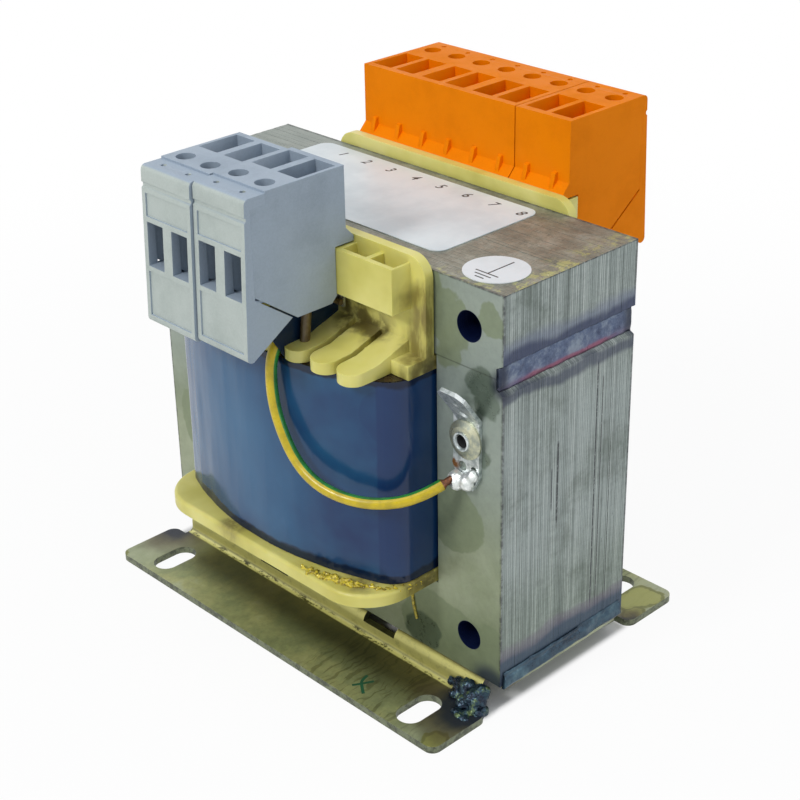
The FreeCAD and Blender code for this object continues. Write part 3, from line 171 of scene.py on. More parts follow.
def offFrom(material, value, centre):
    # distance of a coordinate from a place in mm
    gap = addNode(material, "Math", {"operation": "SUBTRACT", 0: value, 1: centre * mm})
    return sizeOf(material, gap)


def nearPoint(material, place, point, reach, fade):
    # 1 within reach of a point given in mm, 0 past reach + fade
    settings = {"operation": "DISTANCE", 0: place, 1: inMm(point)}
    gap = addNode(material, "VectorMath", settings, "Value")
    return shareOf(material, (gap, reach * mm, (reach + fade) * mm, 1.0, 0.0))


def patched(material, place, spots, fade):
    # 1 inside any of the spots, each a point and a reach in mm
    near = [nearPoint(material, place, point, reach, fade) for point, reach in spots]
    return anyOf(material, *near)


def wavy(material, place, size, reach):
    # object coordinates pushed about by noise, for uneven outlines
    settings = {"Vector": place, "Scale": perMm(size), "Detail": 3, "Roughness": 0.55}
    push = addNode(material, "TexNoise", settings, "Color")
    settings = {"operation": "MULTIPLY_ADD", 0: push, 1: [reach * mm] * 3, 2: place}
    moved = addNode(material, "VectorMath", settings)
    return addNode(material, "VectorMath", {"operation": "SUBTRACT", 0: moved, 1: [reach * mm / 2] * 3})


def finished(material, shader, colour, gloss, relief):
    # gloss is a pattern and the roughness where it is 0.3 and where it is 0.7, a socket or none;
    # relief is a pattern, its strength and its depth in mm
    links = {"Base Color": colour}
    if isinstance(gloss, tuple):
        pattern, low, high = gloss
        gloss = addNode(material, "MapRange", {0: pattern, 1: 0.3, 2: 0.7, 3: low, 4: high})
    if gloss:
        links["Roughness"] = gloss
    pattern, strength, depth = relief
    settings = {"Strength": strength, "Distance": depth * mm, "Height": pattern}
    links["Normal"] = addNode(material, "Bump", settings)
    for name, socket in links.items():
        material.node_tree.links.new(socket, shader.inputs[name])
    return material


# camera, lamps and floor
cameraSpot = {
    "place": (-210.35, -224.0, 201.96),  # mm
    "heading": 43.726,  # degrees from +Y towards +X
    "drop": 26.062,  # degrees below the horizon
    "roll": -1.089,
    "lens": 76.96,
    "shiftUp": -0.05,
}


def setCamera(spot):
    data = bpy.data.cameras.new("camera")
    data.lens = spot["lens"]
    data.sensor_width = 36
    data.shift_y = spot["shiftUp"]
    data.clip_start = 0.01
    camera = bpy.data.objects.new("camera", data)
    scene.collection.objects.link(camera)
    turn = (
        Matrix.Rotation(math.radians(-spot["heading"]), 4, "Z")
        @ Matrix.Rotation(math.radians(90 - spot["drop"]), 4, "X")
        @ Matrix.Rotation(math.radians(spot["roll"]), 4, "Z")
    )
    camera.matrix_world = Matrix.Translation(Vector(spot["place"]) * mm) @ turn
    scene.camera = camera


lampRows = {
    # name: place in metres, size in metres, watts, colour
    "softboxLeft": ((-0.75, 0.05, 0.62), 0.2, 3.7, "#ffffff"),
    "softboxTop": ((-0.1, -0.1, 0.95), 0.8, 2.8, "#ffffff"),
    "softboxRight": ((0.25, -0.85, 0.4), 0.6, 1.5, "#f4f8ff"),
}


def setLamps(rows):
    aim = Vector((0, 0, 0.05))
    for name, (place, size, watts, colour) in rows.items():
        data = bpy.data.lights.new(name, "AREA")
        data.size = size
        data.energy = watts
        data.color = linear(colour)[:3]
        lamp = bpy.data.objects.new(name, data)
        lamp.location = place
        lamp.rotation_euler = (aim - Vector(place)).to_track_quat("-Z", "Y").to_euler()
        scene.collection.objects.link(lamp)


studio = {
    "fill": "#b9bdc4",
    "fillStrength": 0.62,
    "backdrop": "#ffffff",
    "floor": "#f2f2f0",
    "floorSize": 8.0,  # metres
    "glow": 0.93,
    "nearFar": (0.09, 0.3),  # metres from the middle between which the glow grows to full
    "coreAcross": (0.020, 0.022),  # no glow in the dark under the core, in metres
    "coreAlong": (0.046, 0.048),
}


def seesBackdrop(material):
    # 1 for the rays of the camera, of gloss and of glass, which meet a white backdrop
    path = addNode(material, "LightPath").node.outputs
    return anyOf(material, *(path[f"Is {ray} Ray"] for ray in ("Camera", "Glossy", "Transmission")))


def setWorld(look):
    world = emptied(bpy.data.worlds.new("studio"))
    glow = addNode(world, "Background", {
        "Color": coated(world, look["fill"], (look["backdrop"], seesBackdrop(world))),
        "Strength": shareOf(world, (seesBackdrop(world), 0, 1, look["fillStrength"], 1.0)),
    })
    addNode(world, "OutputWorld", {"Surface": glow})
    scene.world = world


def setFloor(look):
    # matt floor; it glows white to the camera, so only the object's shadow shows on it
    material = emptied(bpy.data.materials.new("paleFloor"))
    place = addNode(material, "TexCoord", {}, "Object")
    away = addNode(material, "VectorMath", {"operation": "LENGTH", 0: place}, "Value")
    across, along, _ = addNode(material, "SeparateXYZ", {0: place}).node.outputs
    under = shareOf(
        material,
        (sizeOf(material, across), *look["coreAcross"], 1, 0),
        (sizeOf(material, along), *look["coreAlong"], 1, 0),
    )
    outside = addNode(material, "Math", {"operation": "SUBTRACT", 0: 1.0, 1: under})
    share = shareOf(material, (away, *look["nearFar"], look["glow"], 1.0), outside, seesBackdrop(material))
    matt = addNode(material, "BsdfDiffuse", {"Color": look["floor"]})
    white = addNode(material, "Emission", {"Strength": 1.0})
    mixed = addNode(material, "MixShader", {0: share, 1: matt, 2: white})
    addNode(material, "OutputMaterial", {"Surface": mixed})
    edit = bmesh.new()
    bmesh.ops.create_grid(edit, x_segments=1, y_segments=1, size=look["floorSize"] / 2)
    mesh = bpy.data.meshes.new("floor")
    edit.to_mesh(mesh)
    edit.free()
    floor = bpy.data.objects.new("floor", mesh)
    mesh.materials.append(material)
    scene.collection.objects.link(floor)


scene.view_settings.view_transform = "Standard"
setCamera(cameraSpot)
setLamps(lampRows)
setWorld(studio)
setFloor(studio)
print("camera, lamps and floor set")


# steel sheet, zinc plated and yellow chromated: olive film that wears to grey, half metallic
def zincChromate(look):
    material, shader, place = startMaterial("zincChromate", Metallic=0.4)
    cloud, flecks, broken, grain = clouds(material, place, *look["clouds"])
    [ripple] = clouds(material, wavy(material, place, 9, 7), look["ripples"])
    across, along, height = addNode(material, "SeparateXYZ", {0: place}).node.outputs
    inward = sizeOf(material, across)
    lengthways = sizeOf(material, along)
    pushed = wavy(material, place, 7, 7)
    pool = patched(material, pushed, look["pools"], 0.4)
    inner = patched(material, pushed, [(point, reach - 0.8) for point, reach in look["pools"]], 0.4)
    rim = addNode(material, "Math", {"operation": "SUBTRACT", 0: 1.0, 1: inner})
    film = coated(
        material,
        (cloud, look["film"]),
        ("OVERLAY", flecks, 0.45),
        # painted shade: the part of the feet that lies under the coil is painted darker and browner, with
        # fine ripples
        (
            "MULTIPLY", look["shade"], (inward, *inMm(look["shadeAcross"]), 1, 0),
            (lengthways, *inMm(look["shadeAlong"]), 0.95, 0.3),
        ),
        (
            "MULTIPLY", look["ripple"], (ripple, 0.52, 0.6, 0, 0.5),
            (along, *inMm(look["rippleAlong"]), 1, 0.12),
        ),
        # towards the ends of the feet the film thins to grey
        (look["thin"], (lengthways, *inMm(look["thinAlong"]), 0, 0.6), (cloud, 0.35, 0.55, 0.5, 1)),
        # pools of chromate with crisp rims at the far ends of the feet
        (look["pool"], pool, 0.7),
        (look["poolRim"], pool, rim, 0.55),
    )
    # blue and brown heat tint round the welds
    for point, reach, fade in look["tints"]:
        brown = nearPoint(material, pushed, point, reach + fade * 0.4, fade)
        navy = nearPoint(material, pushed, point, reach, fade * 0.6)
        film = coated(material, film, (look["brown"], brown, 0.8), (look["navy"], navy, 0.92))
    faceX, _, faceZ = addNode(
        material, "SeparateXYZ", {0: addNode(material, "NewGeometry", {}, "Normal")}
    ).node.outputs
    fold = offFrom(material, inward, look["foldPlace"])
    lying = (height, *inMm(look["sheetTop"]), 1, 0)
    sheared = shareOf(material, (sizeOf(material, faceZ), 0.3, 0.6, 1, 0), lying)
    film = coated(
        material,
        film,
        # painted light: the web turned up beside the core faces the light and is painted a paler yellow,
        # with a painted glint along the rough bend line
        (
            look["bend"], (sizeOf(material, faceX), 0.35, 0.7),
            (height, *inMm(look["webFoot"])), (flecks, 0.3, 0.5, 0.6, 0.95),
        ),
        (
            look["bendGlint"], (fold, *inMm(look["glintAcross"]), 1, 0), (broken, 0.4, 0.5),
            (height, *inMm(look["glintTop"]), 1, 0),
        ),
        # sheared edges are bare grey steel
        (look["edge"], sheared),
        (look["edgeDark"], sheared, (flecks, 0.42, 0.56, 0.85, 0.1)),
    )
    relief = addNode(material, "Math", {"operation": "ADD", 0: grain, 1: shareOf(material, ripple, 1.4)})
    return finished(material, shader, film, (flecks, 0.32, 0.5), (relief, 0.3, 0.08))


zincLook = {
    # size or sizes in mm, detail and roughness: cloud, flecks, broken line, rolled grain
    "clouds": [(17, 6, 0.62), (1.6, 8, 0.75), ((2, 4, 2), 5, 0.8), ((0.5, 9, 0.5), 4, 0.6)],
    "ripples": ((9, 0.8, 9), 3, 0.6),
    "film": [(0.33, "#79805c"), (0.47, "#8f966a"), (0.58, "#a9aa76"), (0.7, "#b0b79c")],
    # places in mm, each pair a step from one to the other
    "shade": "#7c755f",
    "shadeAcross": (24, 32),
    "shadeAlong": (30, 43),
    "ripple": "#8d8466",
    "rippleAlong": (-16, -6),
    "thin": "#b3bba2",
    "thinAlong": (33, 44),
    "pool": "#a3a348",
    "poolRim": "#565c3a",
    "bend": "#bfba70",
    "webFoot": (1.7, 2.3),
    "foldPlace": 19.6,
    "bendGlint": "#dcd890",
    "glintAcross": (0.25, 0.7),
    "glintTop": (2, 2.8),
    "sheetTop": (1.45, 1.6),
    "edge": "#7c8368",
    "edgeDark": "#3f4436",
    "brown": "#50442f",
    "navy": "#182133",
    # point in mm and reach
    "pools": [
        ((29, -44, 1.5), 4.2), ((24, -47, 1.5), 2.6), ((-36, 47, 1.5), 2.4),
        ((-33, -47, 1.5), 3.0), ((31, 20, 1.5), 6),
    ],
    # point in mm, reach and fade of the tint
    "tints": [((-22, -44.5, 3), 4.5, 8), ((20, -47, 3), 2, 4), ((-20, 47, 3), 3, 8)],
}


# silicon steel sheet, 0.5 mm, punched and varnished: grey green faces with darker runs of varnish,
# cut edges lined sheet by sheet, blued beside the welds
def siliconSteel(look):
    material, shader, place = startMaterial("siliconSteel", Metallic=0.45)
    patterns = clouds(material, place, *look["clouds"])
    specks, grime, cloud, streak, stain, nicks, mottle, crust, frayed, rise = patterns
    across, along, height = addNode(material, "SeparateXYZ", {0: place}).node.outputs
    pushed = wavy(material, place, 6, 5)

    # broad face: pale varnish, darker where it ran double, with crisp outlines
    deepRun = patched(material, pushed, look["deepRuns"], 0.8)
    broad = coated(
        material,
        (cloud, look["broad"]),
        (look["broadTop"], (height, *inMm(look["paleHeight"])), 0.75),
        (look["run"], patched(material, pushed, look["runs"], 0.6), 0.75),
        (look["deepRun"], deepRun, 0.7),
        ("OVERLAY", specks, 0.3),
        (look["line"], (offFrom(material, height, look["joint"]), *inMm(look["lineWidth"]), 0.6, 0)),
    )

    # cut edges: each sheet has its own tone, and the gaps between the sheets show as fine lines
    sheets = addNode(material, "Math", {"operation": "DIVIDE", 0: across, 1: look["sheet"] * mm})
    shifted = addNode(material, "Math", {"operation": "ADD", 0: sheets, 1: 0.5})
    number = addNode(material, "Math", {"operation": "FLOOR", 0: shifted})
    tone = addNode(material, "TexWhiteNoise", {"noise_dimensions": "1D", "W": number})
    gap = addNode(material, "Math", {"operation": "FRACT", 0: shifted})
    gap = sizeOf(material, addNode(material, "Math", {"operation": "SUBTRACT", 0: gap, 1: 0.5}))
    number = addNode(material, "Math", {"operation": "FLOOR", 0: sheets})
    number = addNode(material, "Math", {"operation": "ADD", 0: number, 1: 0.37})
    depth = addNode(material, "TexWhiteNoise", {"noise_dimensions": "1D", "W": number})
    tones = {0: shareOf(material, tone, 0.2), 1: shareOf(material, streak, 0.8)}
    mixTone = addNode(material, "Math", {"operation": "ADD", **tones})
    lined = shareOf(material, (gap, 0.3, 0.5), (depth, 0.1, 0.95, 0.1, 0.75))
    worn = (offFrom(material, height, look["wornHeight"]), *inMm(look["wornReach"]), 0.4, 0)
    edge = coated(
        material,
        (mixTone, look["cut"]),
        (look["gap"], lined),
        ("OVERLAY", grime, 0.35),
        # the lower half is greener and duller, with handling stains
        ("MULTIPLY", look["lowTint"], (height, *inMm(look["lowHeight"]), 0.6, 0)),
        ("MULTIPLY", look["stain"], (stain, 0.5, 0.7, 0, 0.6)),
        (look["worn"], worn, (stain, 0.4, 0.6, 1, 0.3)),
        # nicks and upright scratches
        (look["nick"], (nicks, 0.62, 0.7, 0, 0.7)),
    )
    for spot, low, high, width in look["scratches"]:
        edge = coated(material, edge, (
            look["nick"], (offFrom(material, across, spot), width * 0.5 * mm, width * mm, 0.9, 0),
            (height, (low - 2) * mm, low * mm), (height, high * mm, (high + 1) * mm, 1, 0),
            (grime, 0.36, 0.5, 0.25, 1),
        ))

    faceX, faceY, faceZ = addNode(
        material, "SeparateXYZ", {0: addNode(material, "NewGeometry", {}, "Normal")}
    ).node.outputs
    onBroad = shareOf(material, (sizeOf(material, faceX), 0.5, 0.8))
    onEnd = shareOf(material, (sizeOf(material, faceY), 0.5, 0.8))
    onTop = shareOf(material, (faceZ, 0.5, 0.8), (height, *inMm(look["topHeight"])))

    # top: brown grey and mottled, with yellow resin left along its rims and painted glints on the resin
    nearEnd = shareOf(material, (along, *inMm(look["crustEnd"]), 1, 0))
    nearSide = shareOf(material, (across, *inMm(look["crustSide"]), 0.8, 0))
    rim = shareOf(material, anyOf(material, nearEnd, nearSide), (crust, 0.5, 0.58))
    top = coated(
        material,
        (mottle, look["top"]),
        (look["gap"], lined, 0.35),
        ("OVERLAY", grime, 0.4),
        (look["topFar"], (along, *inMm(look["farAlong"]), 0, 0.7)),
        (look["resin"], rim, 0.75),
        (look["glint"], rim, (grime, 0.62, 0.68)),
    )

    # dark burrs along the arrises
    fray = shareOf(material, (frayed, 0.38, 0.6, 0.25, 1))
    burrs = []
    ways = (sizeOf(material, across), sizeOf(material, along), height)
    for value, (arris, near, far) in zip(ways, look["burrs"]):
        step = (offFrom(material, value, arris), near * mm, far * mm, 1, 0)
        burrs.append(shareOf(material, step, fray))
    sideBurr, endBurr, topBurr = burrs
    edge = coated(
        material, edge, (top, onTop), (look["burr"], sideBurr, 0.8),
        (look["burr"], topBurr, onEnd),
    )
    broad = coated(material, broad, (look["burr"], anyOf(material, endBurr, topBurr), 0.75))

    # temper colours beside the welds
    towardsEnd = shareOf(material, (sizeOf(material, faceY), 0.1, 0.4))
    level = uneven(material, height, rise, look["rise"])
    for centre, reach, fade, code, share in look["bands"]:
        step = (offFrom(material, level, centre), reach * mm, (reach + fade) * mm, share, 0)
        edge = coated(material, edge, (code, step, towardsEnd))
    for point, reach, fade, code in look["scorches"]:
        scorch = shareOf(material, nearPoint(material, place, point, reach, fade), 0.85)
        broad = coated(material, broad, (code, scorch))
        edge = coated(material, edge, (code, scorch))

    colour = coated(material, edge, (broad, onBroad))
    # the walls of the corner holes are painted dark blue, painted shade deep inside the holes
    bore = addNode(material, "CombineXYZ", {"X": 0.0, "Y": sizeOf(material, along), "Z": height})
    for sideways, up in look["holes"]:
        inside = nearPoint(material, bore, (0, sideways, up), look["boreRadius"], 0.05)
        colour = coated(material, colour, (look["bore"], inside))
    rough = addNode(material, "MapRange", {0: specks, 1: 0.35, 2: 0.7, 3: 0.36, 4: 0.56})
    gloss = shareOf(material, deepRun, onBroad, -0.14)
    gloss = addNode(material, "Math", {"operation": "ADD", 0: rough, 1: gloss})
    sunken = shareOf(material, lined, 0.6)
    relief = addNode(material, "Math", {"operation": "SUBTRACT", 0: mixTone, 1: sunken})
    relief = coated(material, relief, (specks, onBroad))
    return finished(material, shader, colour, gloss, (relief, 0.35, 0.05))


steelLook = {
    "sheet": 0.5,  # mm
    # places in mm, each pair a step from one to the other
    "joint": 70,
    "lineWidth": (0.05, 0.22),
    "paleHeight": (26, 56),
    "lowHeight": (14, 40),
    "wornHeight": 44,
    "wornReach": (12, 24),
    "topHeight": (80, 81),
    "farAlong": (8, 36),
    "crustEnd": (-47, -41),
    "crustSide": (-17, -14),
    # arris of the sides, the ends and the top, and how far off it a burr is full and gone
    "burrs": [(17.75, 0.15, 0.75), (48, 0.1, 0.6), (86, 0.1, 0.4)],
    "rise": 4,  # how much the temper bands wander
    # size or sizes in mm, detail and roughness
    "clouds": [
        (2.2, 8, 0.8),  # specks
        (0.7, 5, 0.7),  # grime
        (22, 7, 0.6),  # cloud on the broad face
        ((0.9, 40, 40), 5, 0.7),  # streaks along the sheets
        (14, 5, 0.65),  # stains
        ((0.5, 4, 4), 4, 0.8),  # nicks
        (5, 8, 0.72),  # mottle on top
        (3, 6, 0.75),  # crust of resin
        (1.3, 5, 0.7),  # frayed burrs
        (9, 3, 0.5),  # rise and fall of the temper bands
    ],
    "broad": [(0.34, "#7d8869"), (0.5, "#939c80"), (0.64, "#a3aa90")],
    "broadTop": "#98a39f",
    "run": "#7d896a",
    "deepRun": "#4d5c4b",
    "line": "#4b5348",
    # point in mm and reach of the runs
    "runs": [
        ((-17.75, -35.6, 77), 4.4), ((-17.75, -33.5, 81), 3.0), ((-17.75, -45, 81), 2.8),
        ((-17.75, -35.2, 71.5), 2.6), ((-17.75, -32.5, 84), 1.6), ((-17.75, -36, 38), 7.0),
        ((-17.75, -30, 12), 7.5), ((-17.75, -38, 11), 7.0), ((-17.75, -46, 12), 6.0),
        ((17.75, 33, 74), 6.0), ((17.75, -38, 24), 8.0), ((-17.75, 38, 30), 8.0),
    ],
    "deepRuns": [
        ((-17.75, -42.8, 68), 3.0), ((-17.75, -44, 64), 2.4), ((-17.75, -43, 54), 1.6),
        ((-17.75, -28, 9), 4.0),
    ],
    "cut": [(0.3, "#717b77"), (0.48, "#929c98"), (0.6, "#a4ada9"), (0.78, "#bac1bd")],
    "gap": "#565d57",
    "lowTint": "#dbe2d4",
    "stain": "#9da697",
    "worn": "#a9b3b1",
    "nick": "#35383c",
    # place across, low and high end, width, in mm
    "scratches": [
        (7.8, 2, 64.5, 0.28), (9.4, 2, 61, 0.14), (-2.8, 36, 52, 0.34), (-4.4, 40, 47, 0.2),
        (12.2, 6, 46, 0.12),
    ],
    "top": [(0.34, "#72746a"), (0.5, "#8a8b7e"), (0.66, "#a0a297")],
    "topFar": "#98a29d",
    "resin": "#bcbf7a",
    "glint": "#e6e6cf",
    "burr": "#34363a",
    # centre, reach and fade in mm, colour, share
    "bands": [
        (74.0, 1.2, 2.6, "#67708a", 0.6),
        (72.9, 1.2, 1.4, "#2c3757", 0.85),
        (65.9, 0.5, 1.3, "#3b4258", 0.75),
        (6.5, 4.4, 2.4, "#33475c", 0.93),
        (12.6, 0.4, 1.5, "#6d6275", 0.5),
    ],
    # point in mm, reach, fade, colour
    "scorches": [
        ((-17.75, -48, 69), 1.6, 2.4, "#1e2539"),
        ((-17.75, 48, 69), 1.6, 2.4, "#1e2539"),
        ((17.75, -48, 69), 1.2, 2.0, "#2a3145"),
        ((-17.75, -45.5, 5), 2.6, 3.4, "#2a3446"),
    ],
    "holes": [(40, 14), (40, 78)],  # place along and height in mm
    "boreRadius": 2.93,
    "bore": "#101f4a",
}


# polyamide 66, natural and aged yellow: waxy, a little light passes through it; impregnating resin
# has run down it and set amber near the core; near the core and at the finger roots its spots are also
# painted shade
def agedNylon(look):
    material, shader, place = startMaterial(
        "agedNylon", Roughness=0.36, IOR=1.53, Subsurface_Weight=0.25, Subsurface_Scale=1.6 * mm,
        Subsurface_Radius=(1.0, 0.8, 0.35),
    )
    cloud, resin, runs = clouds(material, place, (13, 3, 0.5), (5, 4, 0.6), ((2.5, 2.5, 9), 4, 0.6))
    base = coated(material, (cloud, look["body"]))
    pushed = wavy(material, place, 5, 4)
    for point, reach, fade in look["resinSpots"]:
        spot = nearPoint(material, pushed, point, reach, fade)
        base = coated(material, base, (look["resin"], spot, (runs, 0.36, 0.6, 0.35, 0.9)))
    for point, reach, fade in look["darkSpots"]:
        spot = nearPoint(material, pushed, point, reach, fade)
        base = coated(material, base, (look["dirt"], spot, (resin, 0.4, 0.58, 0.2, 0.9)))
    return finished(material, shader, base, None, (resin, 0.15, 0.08))


nylonLook = {
    "body": [(0.35, "#cdc462"), (0.52, "#dcd477"), (0.68, "#e6de8b")],
    "resin": "#7c6f33",
    "dirt": "#54491f",
    # point in mm, reach and fade
    # the three high spots on the board beside the core are painted shade as well as resin
    "resinSpots": [
        ((-31, -25, 25), 1, 4), ((-24, -31, 24), 1.5, 4), ((-34, 8, 24), 1, 4),
        ((-20, -32, 80), 3.2, 3), ((-20, -32, 73), 3.4, 3.4), ((-20.5, -31, 67), 2.4, 3),
    ],
    # dark spots at the finger roots and beside the core: painted shade with dirt
    "darkSpots": [
        ((-20, -14, 73), 2.6, 3.2), ((-20, -20, 71.5), 2.2, 3), ((-19, -31, 68), 1.2, 2.2),
        ((-19.5, -31.5, 24), 1.2, 3), ((-23, -14.5, 67), 1.2, 2.6), ((-24, -20, 67), 1.2, 2.6),
        ((-21, -30, 66), 1.6, 2.8),
    ],
}


# thermoplastic, injection moulded with a fine spark-eroded texture, so its gloss is broad
def moulding(name, body, worn, roughness, gloss=0.5, sides=None):
    # sides is the cooler tone painted on the faces that are not the front: painted shade where less light
    # falls
    material, shader, place = startMaterial(name, IOR=1.5, Specular_IOR_Level=gloss)
    # the real texture is 0.05 mm; 0.35 mm shows in the render
    grain, cloud = clouds(material, place, (0.35, 3, 0.6), (8, 5, 0.65))
    colour = coated(material, body, (worn, (cloud, 0.4, 0.75, 0, 0.6)))
    if sides:
        normal = addNode(material, "NewGeometry", {}, "Normal")
        faceX = addNode(material, "SeparateXYZ", {0: normal})
        colour = coated(material, colour, (sides, (faceX, -0.8, -0.4)))
    colour = coated(material, colour, ("OVERLAY", grain, 0.12))
    rough = (cloud, roughness - 0.07, roughness + 0.1)
    return finished(material, shader, colour, rough, (grain, 0.2, 0.03))


# polyester film round the coil, drawn tight and soaked in resin: dark blue, wet gloss,
# long upright wrinkles, and crisp outlines where the film or the resin lies double
def blueFilm(look):
    material, shader, place = startMaterial("blueFilm", Roughness=0.17, IOR=1.5, Specular_IOR_Level=0.36)
    wrinkle, cloud = clouds(material, place, ((3.2, 3.2, 22), 4, 0.55), (26, 4, 0.5))
    along = addNode(material, "SeparateXYZ", {0: place}, "Y")
    pushed = wavy(material, place, 8, 4)
    wanderingHeight = addNode(material, "SeparateXYZ", {0: pushed}, "Z")
    low = shareOf(material, (wanderingHeight, *inMm(look["rimLow"]), 0.85, 0))
    high = shareOf(material, (wanderingHeight, *inMm(look["rimHigh"]), 0, 0.85))
    colour = coated(
        material,
        (cloud, look["body"]),
        # painted light: a paler patch spread over the front of the coil
        (look["bloom"], patched(material, pushed, look["pale"], 26), 0.75),
        (look["deep"], patched(material, pushed, look["double"], 0.5), 0.3),
        # painted shade: dark on the side towards the core, from the fold of the film on
        (look["deep"], (along, *inMm(look["fold"]), 0.75, 0)),
        # painted shade along the lower edge by the flange and the top edge under the fingers
        (look["rim"], anyOf(material, low, high)),
    )
    return finished(material, shader, colour, None, (wrinkle, 0.2, 0.1))


filmLook = {
    "body": [(0.35, "#132f5c"), (0.55, "#215077"), (0.72, "#37698f")],
    "deep": "#132f5c",
    "bloom": "#37698f",
    "rim": "#08142c",
    # places in mm, each pair a step from one to the other
    "fold": (-27.8, -27.3),
    "rimLow": (26.6, 27.4),
    "rimHigh": (65.2, 65.8),
    # point in mm and reach
    "pale": [((-38, 8, 46), 4)],
    "double": [
        ((-27, -29, 60), 5), ((-26, -30, 50), 4), ((-29, -27, 40), 3), ((-25, -31, 36), 5),
        ((-24, -31, 45), 5),
    ],
}


# plain metal parts: plated, tinned or fused; spots of rust or flux where they are handled
def wornMetal(name, body, dull, roughness, grain, spots=(), spotColour=None):
    material, shader, place = startMaterial(name, Metallic=0.75)
    [cloud] = clouds(material, place, (grain, 6, 0.65))
    colour = coated(material, body, (dull, (cloud, 0.4, 0.65)))
    for point, reach, fade in spots:
        spot = nearPoint(material, place, point, reach, fade)
        colour = coated(material, colour, (spotColour, spot, (cloud, 0.4, 0.55)))
    rough = (cloud, roughness - 0.08, roughness + 0.14)
    return finished(material, shader, colour, rough, (cloud, 0.3, 0.05))


# fused steel: blue black oxide, as glossy as the resin over it; the heap's palest colours are painted
# glints
def weldSkin(name, stops, size, roughness, depth):
    material, shader, place = startMaterial(name, Metallic=0.6)
    [cloud] = clouds(material, place, (size, 6, 0.7))
    colour = coated(material, (cloud, stops))
    return finished(material, shader, colour, (cloud, roughness, roughness + 0.2), (cloud, 0.5, depth))


# name, colours, size of the clouds in mm, roughness and depth of the relief in mm
# the two palest colours of the heap are painted glints
heapLook = (
    "heapWeld",
    [(0.34, "#0c1119"), (0.46, "#182638"), (0.55, "#2c4450"), (0.65, "#66784c"), (0.76, "#b9c292")],
    2.2, 0.2, 0.2,
)
footLook = (
    "footWeld",
    [(0.34, "#26323f"), (0.5, "#374e5e"), (0.62, "#4c6672"), (0.76, "#7f9499")],
    4.5, 0.22, 0.3,
)


# seam run without filler: a smooth blue grey band between two pale rims, violet and red at its lower side
def seamSkin(look):
    material, shader, place = startMaterial("seamWeld", Metallic=0.55)
    cloud, grit, rise = clouds(material, place, (3.5, 6, 0.7), (0.9, 5, 0.75), (4, 3, 0.5))
    across, _, height = addNode(material, "SeparateXYZ", {0: place}).node.outputs
    level = uneven(material, height, rise, look["rise"])
    redLine = (offFrom(material, level, look["redHeight"]), *inMm(look["redReach"]), 0.9, 0)
    redMiddle = (sizeOf(material, across), *inMm(look["redAcross"]), 0.75, 0.1)
    paleRim = (offFrom(material, height, look["middle"]), *inMm(look["rimReach"]))
    colour = coated(
        material,
        (cloud, look["body"]),
        (look["violet"], (level, *inMm(look["violetHeight"]), 0.6, 0)),
        (look["red"], redLine, redMiddle),
        (look["rim"], paleRim, (grit, 0.42, 0.56, 0.2, 0.9)),
        (look["soot"], (sizeOf(material, across), *inMm(look["sootAcross"]), 0, 0.85)),
        ("OVERLAY", grit, 0.3),
    )
    return finished(material, shader, colour, (grit, 0.26, 0.46), (grit, 0.35, 0.12))


seamLook = {
    "body": [(0.34, "#36425e"), (0.48, "#56647f"), (0.62, "#808c9b")],
    "violet": "#71688a",
    "red": "#9c4f62",
    "rim": "#a9afae",
    "soot": "#252c3c",
    # places in mm, each pair a step from one to the other
    "middle": 70,
    "rise": 1.2,  # how much the colours wander
    "violetHeight": (67.4, 70),
    "redHeight": 68.1,
    "redReach": (0.2, 0.9),
    "redAcross": (9, 14),
    "rimReach": (2.1, 2.6),
    "sootAcross": (14.5, 17),
}


# satin silver polyester label with a printed film
def labelFilm(body, dull):
    material, shader, place = startMaterial("labelFilm", Metallic=0.1, Roughness=0.4)
    [cloud] = clouds(material, place, (9, 4, 0.6))
    colour = coated(material, body, (dull, (cloud, 0.35, 0.7)))
    return finished(material, shader, colour, None, (cloud, 0.12, 0.05))


# soft PVC insulation, sleeves, paper, ink and resin; and enamelled copper, which hardly shows and is
# painted nearly black as painted shade
def plainSoft(name, body, dull, roughness, grain):
    material, shader, place = startMaterial(name, IOR=1.52)
    [cloud] = clouds(material, place, (grain, 4, 0.6))
    colour = coated(material, body, (dull, (cloud, 0.4, 0.66)))
    rough = (cloud, roughness - 0.05, roughness + 0.08)
    return finished(material, shader, colour, rough, (cloud, 0.15, 0.04))


